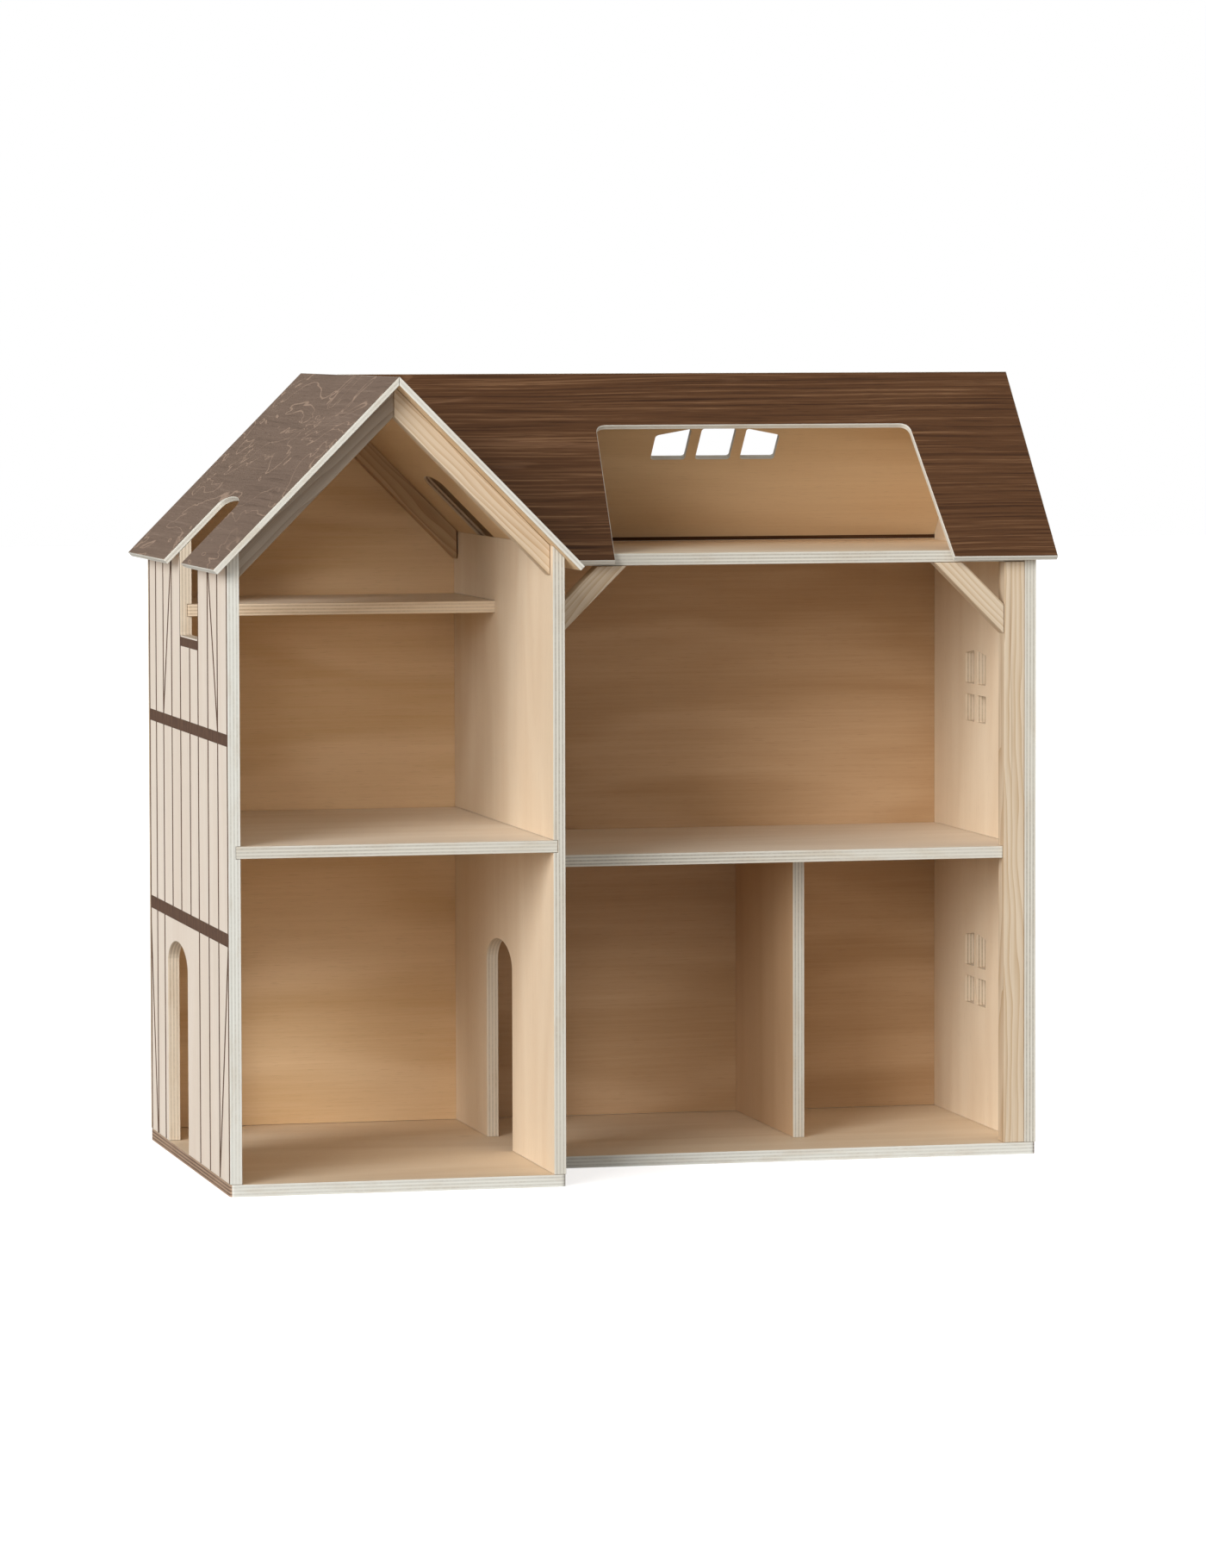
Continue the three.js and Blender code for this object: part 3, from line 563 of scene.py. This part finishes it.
# ---------------------------------------------------------------- half-timber pattern
# Places in the pattern are (y, z) in millimetres from the wing's front foot
LINE_WIDTH = 4.6
FOOT = 9.0  # top of the base board
OVER_ALL = 1000.0
HIGHEST_CUT = 600.0
WALL_TOP = 470
DORMER_SILL = (397.5, 404.5)
DORMER_SIDES = (130.0, 211.0)
UPPER_BAND = (332.5, 341.5)
LOWER_BAND = (184.5, 194.5)
OVER_DOOR = LOWER_BAND[1]
RIGHT_WALL_EAVE = (459.0, 468.0)
RIGHT_WALL_MIDDLE = (292.0, 301.0)

LEFT_WALL_UPRIGHTS = (
    (2.9, FOOT, OVER_ALL),
    (44, FOOT, OVER_ALL),
    (86.5, FOOT, OVER_ALL),
    (130, FOOT, OVER_ALL),
    (167.5, OVER_DOOR, DORMER_SILL[0]),
    (210.5, OVER_DOOR, OVER_ALL),
    (251, OVER_DOOR, OVER_ALL),
    (291, FOOT, OVER_ALL),
    (326, FOOT, OVER_ALL),
    (357.2, FOOT, OVER_ALL),
)
LEFT_WALL_STRUTS = (
    ((86, WALL_TOP), (44, 341), UPPER_BAND[1], OVER_ALL),
    ((251, WALL_TOP), (291, 341), UPPER_BAND[1], OVER_ALL),
    ((359, 184), (329, 9), FOOT, LOWER_BAND[0]),
    ((3, 184), (44, 9), FOOT, LOWER_BAND[0]),
)
RIGHT_WALL_UPRIGHTS = tuple(
    (y, FOOT, OVER_ALL) for y in (107.9, 130, 167.5, 210.5, 251, 291, 326, 357.2)
)
RIGHT_WALL_STRUTS = (
    ((131, 184), (108, 9), FOOT, LOWER_BAND[0]),
    ((359, 184), (329, 9), FOOT, LOWER_BAND[0]),
    ((131, 301), (108, 459), RIGHT_WALL_MIDDLE[1], RIGHT_WALL_EAVE[0]),
    ((326, 301), (357, 459), RIGHT_WALL_MIDDLE[1], RIGHT_WALL_EAVE[0]),
)


def strip(a, b, low, high, width=LINE_WIDTH, within=None):
    """A straight line through a and b, the heights between which it shows, and its ends along y."""
    heights = {"low": low, "high": high}
    return {"a": Vector(a), "b": Vector(b), "width": width, "within": within, **heights}


def upright(y, low, high):
    return strip((y, 0.0), (y, 100.0), low, high)


def rail(low, high, within=None):
    middle = (low + high) / 2
    return strip((0.0, middle), (100.0, middle), 0.0, OVER_ALL, high - low, within)


def left_wall_pattern():
    lines = [upright(*place) for place in LEFT_WALL_UPRIGHTS]
    lines.append(rail(*UPPER_BAND))
    lines.append(rail(*LOWER_BAND))
    lines.append(rail(*DORMER_SILL, DORMER_SIDES))
    return lines + [strip(*place) for place in LEFT_WALL_STRUTS]


def right_wall_pattern():
    lines = [upright(*place) for place in RIGHT_WALL_UPRIGHTS]
    lines.append(rail(*LOWER_BAND))
    lines.append(rail(*RIGHT_WALL_EAVE))
    lines.append(rail(*RIGHT_WALL_MIDDLE))
    return lines + [strip(*place) for place in RIGHT_WALL_STRUTS]


def house_point(co):
    """A point's (y, z) in millimetres from the wing's front foot."""
    return Vector(((co.y - HOUSE_FRONT) / MM, co.z / MM))


def course_of(line):
    """The direction of a line and the direction across it."""
    along = (line["b"] - line["a"]).normalized()
    return along, Vector((-along.y, along.x))


def covers(line, point):
    side = course_of(line)[1]
    off = abs((point - line["a"]).dot(side))
    if off > line["width"] / 2 or not line["low"] <= point.y <= line["high"]:
        return False
    within = line["within"]
    return within is None or within[0] <= point.x <= within[1]


def outer_faces(shape, outward):
    return [f for f in shape.faces if f.normal.dot(outward) > OUTER_TEST and f.calc_area() > SPECK]


def split(shape, outward, point, direction):
    """Cuts the outer face along a straight line."""
    where = Vector((0.0, HOUSE_FRONT + point.x * MM, point.y * MM))
    side = Vector((0.0, -direction.y, direction.x))
    outer = with_rims(outer_faces(shape, outward))
    bmesh.ops.bisect_plane(shape, geom=outer, dist=ON_THE_LINE, plane_co=where, plane_no=side)


def split_round(shape, outward, line):
    """Cuts the outer face along both sides of a line and across its ends."""
    along, side = course_of(line)
    for sign in (-1, 1):
        split(shape, outward, line["a"] + side * sign * line["width"] / 2, along)
    for limit in (line["low"], line["high"]):
        if FOOT < limit < HIGHEST_CUT:
            split(shape, outward, Vector((0.0, limit)), Vector((1.0, 0.0)))
    for limit in line["within"] or ():
        split(shape, outward, Vector((limit, 0.0)), Vector((0.0, 1.0)))


def engrave(lines, outward):
    """Returns the step that sinks the lines into a wall's outer face as burnt grooves."""

    def recut(shape, palette):
        palette.append(SCORCHED)
        for line in lines:
            split_round(shape, outward, line)
        shape.normal_update()
        grooves = [
            f
            for f in outer_faces(shape, outward)
            if any(covers(line, house_point(f.calc_center_median())) for line in lines)
        ]
        made = bmesh.ops.extrude_face_region(shape, geom=grooves)
        moved = [v for v in made["geom"] if isinstance(v, bmesh.types.BMVert)]
        bmesh.ops.delete(shape, geom=grooves, context="FACES")
        bmesh.ops.translate(shape, verts=moved, vec=-outward * GROOVE_DEPTH)
        burnt = len(palette) - 1
        for face in {f for v in moved for f in v.link_faces}:
            face.material_index = burnt
            face.smooth = False
        shape.normal_update()

    return recut


# ---------------------------------------------------------------- boards
SLOPING = 0.3  # a roof's normal leans at least this much up, and to its side


def roof_normal(node, toward):
    """The outward normal of a roof panel: that of its largest face on the named side."""
    found = {}
    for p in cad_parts[node].data.polygons:
        if p.normal.dot(toward) > SLOPING and p.normal.z > SLOPING:
            key = tuple(round(c, 2) for c in p.normal)
            area = found[key][0] if key in found else 0.0
            found[key] = (area + p.area, p.normal.copy())
    return max(found.values(), key=lambda entry: entry[0])[1]


# Spaces as ((y from, to), (z from, to)) in millimetres from the wing's front foot
DOOR_SPACE = ((140, 285), (9.5, 172))
DORMER_SPACE = ((125, 215), (395, 480))
LOWER_WINDOW_SPACE = ((205, 275), (95, 170))
UPPER_WINDOW_SPACE = ((205, 275), (320, 395))
ATTIC_SLOT_SPACE = ((200, 280), (480, OVER_ALL))
SIDE_REACH = 3 * MM
DARK_UNDERSIDE_FROM = 361.4  # where the back panel's face meets the roof


def lies_in(space, face):
    """Whether the middle of a face lies in a space."""
    place = house_point(face.calc_center_median())
    (front, rear), (low, high) = space
    return front < place.x < rear and low < place.y < high


def base_edges(face):
    """The base's outer sides are stained like the timber pattern above them."""
    place = face.calc_center_median().x
    outside = place < BASE_LOW.x + SIDE_REACH or place > BASE_HIGH.x - SIDE_REACH
    return BROWN_EDGE if abs(face.normal.x) > SIDE_TEST and outside else None


def jamb_edges(face):
    """The sawn sides of a wing wall's door and dormer have only a trace of wash."""
    opening = lies_in(DOOR_SPACE, face) or lies_in(DORMER_SPACE, face)
    return JAMB_EDGE if opening and abs(face.normal.x) < JAMB_TEST else None


def pane_edges(face):
    """The sawn sides of the window panes are left bare."""
    opening = lies_in(LOWER_WINDOW_SPACE, face) or lies_in(UPPER_WINDOW_SPACE, face)
    return BARE_EDGE if opening else None


def slot_edges(face):
    """The sawn sides of the slot between the attics are left bare and dark: partly bare wood,
    partly painted shade inside the slot.
    """
    upright_side = abs(face.normal.z) < SLOT_TEST
    return BARE_ROOF_EDGE_AND_SHADE if upright_side and lies_in(ATTIC_SLOT_SPACE, face) else None


def dark_eave_underside(normal):
    """The underside, from where the back panel meets it out to the eave, takes the roof's dark top
    finish.
    """
    start = Vector((0.0, HOUSE_FRONT + DARK_UNDERSIDE_FROM * MM, 0.0))

    def recut(shape, palette):
        under = with_rims(f for f in shape.faces if f.normal.dot(normal) < -FACE_TEST)
        bmesh.ops.bisect_plane(shape, geom=under, dist=ON_THE_LINE, plane_co=start, plane_no=Y)
        for f in shape.faces:
            if f.normal.dot(normal) < -FACE_TEST and f.calc_center_median().y > start.y:
                f.material_index = 0

    return recut


plywood("base_board", Z, X, BIRCH_FLOOR, BIRCH_FLOOR, WHITE_EDGE, edge_for=base_edges)
plywood(
    "wing_left_wall", X, Z, BIRCH_WALL, CREAM_PLANK, WHITE_EDGE,
    recut=engrave(left_wall_pattern(), -X), edge_for=jamb_edges,
)
plywood("wing_inner_wall", X, Z, BIRCH_WALL, BIRCH_WALL, WALL_EDGE, edge_for=jamb_edges)
plywood(
    "main_right_wall", X, Z, CREAM_PLANK, BIRCH_WALL, WALL_EDGE,
    recut=engrave(right_wall_pattern(), X), edge_for=pane_edges,
)
# The partition's left face takes the deeper veneer, partly painted shade
plywood("ground_partition", X, Z, BIRCH_WALL, TAN_WALL_PART_SHADE, WALL_EDGE)
# The mid floors take the paler veneer on top, partly painted light
plywood("wing_mid_floor", Z, X, PALE_FLOOR_PART_LIGHT, BIRCH_ROOF, WALL_EDGE)
plywood("main_mid_floor", Z, X, PALE_FLOOR_PART_LIGHT, BIRCH_ROOF, WALL_EDGE)
plywood("main_attic_floor", Z, X, BIRCH_FLOOR, BIRCH_ROOF, WALL_EDGE)
# The shelf takes the paler veneer on top, partly painted light
plywood("wing_attic_shelf", Z, X, PALE_FLOOR_PART_LIGHT, BIRCH_ROOF, BARE_EDGE)
# The wing back panel's inside takes the deeper veneer, partly painted shade
plywood("wing_back_panel", Y, X, BIRCH_WALL, BIRCH_BACK_PART_SHADE, BACK_EDGE, slot="back_ply")
# The main back panel's inside takes the deeper veneer, partly painted shade
plywood("main_back_panel", Y, X, BIRCH_WALL, TAN_BACK_PART_SHADE, BACK_EDGE, slot="back_ply")

ROOFS = (
    # The wing roofs' finish is partly a painted sheen
    ("wing_roof_left", -X, Y, WING_STAIN_AND_SHEEN),
    ("wing_roof_right", X, Y, WING_STAIN_AND_SHEEN),
    ("main_roof_front", -Y, X, MAIN_STAIN),
    ("main_roof_back", Y, X, MAIN_STAIN),
)
for roof_node, toward, ridge, stain in ROOFS:
    upward = roof_normal(roof_node, toward)
    plywood(
        roof_node, upward, ridge, stain, BIRCH_ROOF, ROOF_EDGE, slot="stained_ply",
        edge_for=slot_edges if roof_node == "wing_roof_right" else None,
        recut=dark_eave_underside(upward) if roof_node == "main_roof_back" else None,
    )


# ---------------------------------------------------------------- pine sticks
LEVEL_WITHIN = 0.01 * MM
HALF_SQUARE_WITHIN = 0.2  # part of a run's length by which its rise and its reach may differ


def stick(node, along, normal, wood=PINE_STICK):
    """A planed pine stick with softly rounded arrises."""
    shape = fresh_copy(node)
    ease_edges(shape, PINE_ROUNDING, PINE_ROUNDING_STEPS)
    for face in shape.faces:
        face.smooth = is_narrow(face, PINE_ARRIS)
    piece = finished_piece(node + "_stick", shape, [wood], "pine", node)
    give_board_coordinates(piece.data, normal, along, node)


def slope_of(node):
    """The direction in which a slanting stick runs, in the x-z plane."""
    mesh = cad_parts[node].data
    points = mesh.vertices

    def slanting_length(run):
        level = abs(run.y) < LEVEL_WITHIN
        about_half_square = abs(abs(run.x) - abs(run.z)) < HALF_SQUARE_WITHIN * run.length
        return run.length if level and about_half_square else 0

    runs = (points[e.vertices[1]].co - points[e.vertices[0]].co for e in mesh.edges)
    return max(runs, key=slanting_length).normalized()


for post in ("corner_post_left", "corner_post_right"):
    stick(post, Z, Y)
for slanting in ("brace_left", "brace_right", "rafter_front_right"):
    stick(slanting, slope_of(slanting), Y)
# The front left rafter takes the darkened pine, painted shade under the roof's overhang
stick("rafter_front_left", slope_of("rafter_front_left"), Y, PINE_IN_PAINTED_SHADE)
# The rear rafters take the darker pine, partly painted shade
for slanting in ("rafter_rear_left", "rafter_rear_right"):
    stick(slanting, slope_of(slanting), Y, DEEP_PINE_PART_SHADE)


# ---------------------------------------------------------------- screws and dowels
SCREW_SIDES = 20
# A screw's outline as (radius, height) in millimetres: the head, each turn of the thread, the point
HEAD = ((3.1, 0.0), (3.15, -0.25), (1.55, -1.95), (1.45, -2.6))
THREAD_START = -3.0
THREAD_PITCH = 1.1
THREAD_ROOT = 1.05
THREAD_CREST = 1.48
POINT_SHOULDER = (1.0, 2.6)
POINT_TIP = 0.12
UNTHREADED = 6.0
RECESS_ARM = 1.9
RECESS_HALF = 0.42
RECESS_DEPTH = 1.1
RECESS_TAPER = 0.55
BASE_SCREW_LENGTH = 29.5
BACK_SCREW_LENGTH = 15.5
BASE_SCREW_SEED = 3
BACK_SCREW_SEED = 5
TIP_UP = (math.pi, 0.0, 0.0)
TIP_FORWARD = (-math.pi / 2, 0.0, 0.0)


def screw_outline(length):
    """The screw's outline from its head's top down to its point."""
    rows = list(HEAD)
    for turn in range(int((length - UNTHREADED) / THREAD_PITCH)):
        z = THREAD_START - turn * THREAD_PITCH
        rows.append((THREAD_ROOT, z))
        rows.append((THREAD_CREST, z - THREAD_PITCH / 2))
    rows.append((POINT_SHOULDER[0], -length + POINT_SHOULDER[1]))
    rows.append((POINT_TIP, -length))
    return rows


def recess_outline():
    """The cross in a screw's head."""
    arm, half = RECESS_ARM, RECESS_HALF
    quarter = ((arm, -half), (arm, half), (half, half))
    corners = []
    for _ in range(4):
        corners.extend(quarter)
        quarter = tuple((-y, x) for x, y in quarter)
    return corners


def ring_of(shape, radius, z):
    """A level ring of corners round the screw's shank."""
    ring = []
    for k in range(SCREW_SIDES):
        angle = 2 * math.pi * k / SCREW_SIDES
        x, y = radius * math.cos(angle), radius * math.sin(angle)
        ring.append(shape.verts.new((x * MM, y * MM, z * MM)))
    return ring


def following(corners):
    """Pairs each corner of a closed outline with the next one."""
    return list(zip(corners, corners[1:] + corners[:1]))


def skin_between(shape, upper, lower):
    for (above, above_next), (below, below_next) in zip(following(upper), following(lower)):
        shape.faces.new((above, below, below_next, above_next))


def edges_round(shape, corners):
    return [shape.edges.get(pair) for pair in following(corners)]


def screw_shape(length):
    """A countersunk screw along -Z with its head's top at the origin."""
    shape = bmesh.new()
    loops = [ring_of(shape, radius, z) for radius, z in screw_outline(length)]
    for upper, lower in zip(loops, loops[1:]):
        skin_between(shape, upper, lower)
    shape.faces.new(list(reversed(loops[-1])))
    cross = recess_outline()
    rim = [shape.verts.new((x * MM, y * MM, 0.0)) for x, y in cross]
    taper = RECESS_TAPER * MM
    pit = [shape.verts.new((x * taper, y * taper, -RECESS_DEPTH * MM)) for x, y in cross]
    skin_between(shape, rim, pit)
    shape.faces.new(pit)
    borders = edges_round(shape, loops[0]) + edges_round(shape, rim)
    bmesh.ops.triangle_fill(shape, use_beauty=True, use_dissolve=False, edges=borders)
    bmesh.ops.recalc_face_normals(shape, faces=shape.faces)
    mesh = bpy.data.meshes.new("screw_shape")
    shape.to_mesh(mesh)
    shape.free()
    return mesh


def screw_tree(name):
    """Sets a screw at every point of the piece, each turned about its shank by its own angle."""
    tree = bpy.data.node_groups.new(name, "GeometryNodeTree")
    face = tree.interface
    face.new_socket("Points", in_out="INPUT", socket_type="NodeSocketGeometry")
    face.new_socket("Screw", in_out="INPUT", socket_type="NodeSocketObject")
    face.new_socket("Tip", in_out="INPUT", socket_type="NodeSocketVector")
    face.new_socket("Seed", in_out="INPUT", socket_type="NodeSocketInt")
    face.new_socket("Finish", in_out="INPUT", socket_type="NodeSocketMaterial")
    face.new_socket("Screws", in_out="OUTPUT", socket_type="NodeSocketGeometry")
    add = tree.nodes.new
    start, end = add("NodeGroupInput"), add("NodeGroupOutput")
    info = add("GeometryNodeObjectInfo")
    turned = add("FunctionNodeRandomValue")
    turned.data_type = "FLOAT"
    turned.inputs[RANDOM_MAX].default_value = math.pi
    spin = add("ShaderNodeCombineXYZ")
    first = add("FunctionNodeEulerToRotation")
    second = add("FunctionNodeEulerToRotation")
    both = add("FunctionNodeRotateRotation")
    both.rotation_space = "LOCAL"
    place = add("GeometryNodeInstanceOnPoints")
    real = add("GeometryNodeRealizeInstances")
    coat = add("GeometryNodeSetMaterial")
    link = tree.links.new
    link(start.outputs["Points"], place.inputs["Points"])
    link(start.outputs["Screw"], info.inputs["Object"])
    link(info.outputs["Geometry"], place.inputs["Instance"])
    link(start.outputs["Tip"], first.inputs[0])
    link(start.outputs["Seed"], turned.inputs["Seed"])
    link(turned.outputs[RANDOM_NUMBER], spin.inputs["Z"])
    link(spin.outputs[0], second.inputs[0])
    link(first.outputs[0], both.inputs["Rotation"])
    link(second.outputs[0], both.inputs["Rotate By"])
    link(both.outputs[0], place.inputs["Rotation"])
    link(place.outputs[0], real.inputs[0])
    link(real.outputs[0], coat.inputs["Geometry"])
    link(start.outputs["Finish"], coat.inputs["Material"])
    link(coat.outputs[0], end.inputs["Screws"])
    return tree


def set_screws(name, nodes, length, tilt, head_of, seed):
    """One piece that holds every screw of a row."""
    seat = bpy.data.meshes.new(name + "_points")
    seat.from_pydata([head_of(*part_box(node)) for node in nodes], [], [])
    holder = bpy.data.objects.new(name + "_points", seat)
    pattern = bpy.data.objects.new(name + "_one", screw_shape(length))
    for made in (holder, pattern):
        bpy.context.scene.collection.objects.link(made)
    tree = screw_tree(name + "_tree")
    modifier = holder.modifiers.new("screws", "NODES")
    modifier.node_group = tree
    values = {"Screw": pattern, "Tip": tilt, "Seed": seed, "Finish": ZINC}
    for item in tree.interface.items_tree:
        if item.in_out == "INPUT" and item.name in values:
            modifier[item.identifier] = values[item.name]
    bpy.context.view_layer.update()
    settled = holder.evaluated_get(bpy.context.evaluated_depsgraph_get())
    mesh = bpy.data.meshes.new_from_object(settled)
    mesh.name = name
    bpy.data.objects.remove(holder)
    bpy.data.objects.remove(pattern)
    handed_over(name, mesh, "steel", *nodes)


def head_below(low, high):
    """The middle of a base screw's head, from the low and high corners of its box."""
    return ((low.x + high.x) / 2, (low.y + high.y) / 2, low.z)


def head_behind(low, high):
    """The same for a screw in a back panel."""
    return ((low.x + high.x) / 2, high.y, (low.z + high.z) / 2)


all_nodes = sorted(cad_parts)
base_nodes = [n for n in all_nodes if n.startswith("base_screw")]
back_nodes = [n for n in all_nodes if "_back_screw_" in n]
set_screws("base_screws", base_nodes, BASE_SCREW_LENGTH, TIP_UP, head_below, BASE_SCREW_SEED)
set_screws("back_screws", back_nodes, BACK_SCREW_LENGTH, TIP_FORWARD, head_behind, BACK_SCREW_SEED)

for node in all_nodes:
    if node.startswith("attic_dowel"):
        for material_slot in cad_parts[node].material_slots:
            material_slot.material = BEECH


# ---------------------------------------------------------------- stage
FLOOR_REACH = 14.0
WHITE = (1.0, 1.0, 1.0, 1.0)
FLOOR_GREY = (0.62, 0.62, 0.62, 1.0)
FLOOR_GLOW = 0.72  # seen by the camera only, so that the floor is as white as the wall behind
FILL_STRENGTH = 0.25
# Lamps: name, degrees left of the open front, degrees above the table, strength, breadth in degrees
LAMPS = (
    ("key", 47, 20, 2.95, 38),
    ("front", 10, 22, 0.46, 50),
    ("back", -142, 30, 1.3, 60),
)
CAMERA_PLACE = (-1.16688, -5.04945, 0.64535)
CAMERA_YAW, CAMERA_PITCH, CAMERA_ROLL = 0.2298, -0.0594, -0.0023
CAMERA_SENSOR = 36.0
CAMERA_LENS = 200.68
CAMERA_SHIFT_X, CAMERA_SHIFT_Y = -0.0151, -0.0534
CAMERA_CLIP_END = 60.0


def stage_floor():
    """A large pale sheet of paper under the house."""
    mesh = bpy.data.meshes.new("floor")
    quarters = ((-1, -1), (1, -1), (1, 1), (-1, 1))
    corners = [(x * FLOOR_REACH, y * FLOOR_REACH, 0) for x, y in quarters]
    mesh.from_pydata(corners, [], [(0, 1, 2, 3)])
    floor = bpy.data.objects.new("floor", mesh)
    bpy.context.scene.collection.objects.link(floor)
    paper = bpy.data.materials.new("floor_paper")
    paper.use_nodes = True
    nodes, link = paper.node_tree.nodes, paper.node_tree.links.new
    shader = nodes["Principled BSDF"]
    shader.inputs["Base Color"].default_value = FLOOR_GREY
    shader.inputs["Roughness"].default_value = 0.9
    shader.inputs["Specular IOR Level"].default_value = 0.1
    shader.inputs["Emission Color"].default_value = WHITE
    seen = nodes.new("ShaderNodeLightPath")
    glow = nodes.new("ShaderNodeMath")
    glow.operation = "MULTIPLY"
    glow.inputs[1].default_value = FLOOR_GLOW
    link(seen.outputs["Is Camera Ray"], glow.inputs[0])
    link(glow.outputs[0], shader.inputs["Emission Strength"])
    mesh.materials.append(paper)


def from_side(left, up):
    """A direction given by degrees to the left of the open front and degrees above the table."""
    a, b = math.radians(left), math.radians(up)
    return Vector((-math.sin(a) * math.cos(b), -math.cos(a) * math.cos(b), math.sin(b)))


def window_light(name, left, up, strength, breadth):
    """A broad soft light from a direction."""
    lamp = bpy.data.lights.new(name, "SUN")
    lamp.energy = strength
    lamp.angle = math.radians(breadth)
    holder = bpy.data.objects.new(name, lamp)
    holder.rotation_euler = from_side(left, up).to_track_quat("Z", "Y").to_euler()
    bpy.context.scene.collection.objects.link(holder)


def studio():
    """A low even fill, a white wall for the camera and the lamps."""
    world = bpy.data.worlds.new("studio")
    world.use_nodes = True
    nodes, link = world.node_tree.nodes, world.node_tree.links.new
    fill = nodes["Background"]
    fill.inputs["Color"].default_value = WHITE
    fill.inputs["Strength"].default_value = FILL_STRENGTH
    wall = nodes.new("ShaderNodeBackground")
    wall.inputs["Color"].default_value = WHITE
    wall.inputs["Strength"].default_value = 1.0
    seen = nodes.new("ShaderNodeLightPath")
    choice = nodes.new("ShaderNodeMixShader")
    link(seen.outputs["Is Camera Ray"], choice.inputs[0])
    link(fill.outputs[0], choice.inputs[1])
    link(wall.outputs[0], choice.inputs[2])
    link(choice.outputs[0], nodes["World Output"].inputs["Surface"])
    bpy.context.scene.world = world
    for lamp in LAMPS:
        window_light(*lamp)
    bpy.context.scene.view_settings.view_transform = "Standard"


def camera():
    """Looks from the left, slightly down, along lines of sight that run a little to the right."""
    yaw, pitch, roll = CAMERA_YAW, CAMERA_PITCH, CAMERA_ROLL
    level = math.cos(pitch)
    ahead = Vector((math.sin(yaw) * level, math.cos(yaw) * level, math.sin(pitch)))
    right = Vector((math.cos(yaw), -math.sin(yaw), 0.0))
    up = right.cross(ahead)
    rolled_right = right * math.cos(roll) + up * math.sin(roll)
    rolled_up = up * math.cos(roll) - right * math.sin(roll)
    lens = bpy.data.cameras.new("camera")
    lens.sensor_fit = "HORIZONTAL"
    lens.sensor_width = CAMERA_SENSOR
    lens.lens = CAMERA_LENS
    lens.shift_x = CAMERA_SHIFT_X
    lens.shift_y = CAMERA_SHIFT_Y
    lens.clip_end = CAMERA_CLIP_END
    holder = bpy.data.objects.new("camera", lens)
    turn = Matrix((rolled_right, rolled_up, -ahead)).transposed().to_4x4()
    holder.matrix_world = Matrix.Translation(CAMERA_PLACE) @ turn
    bpy.context.scene.collection.objects.link(holder)
    bpy.context.scene.camera = holder


stage_floor()
studio()
camera()
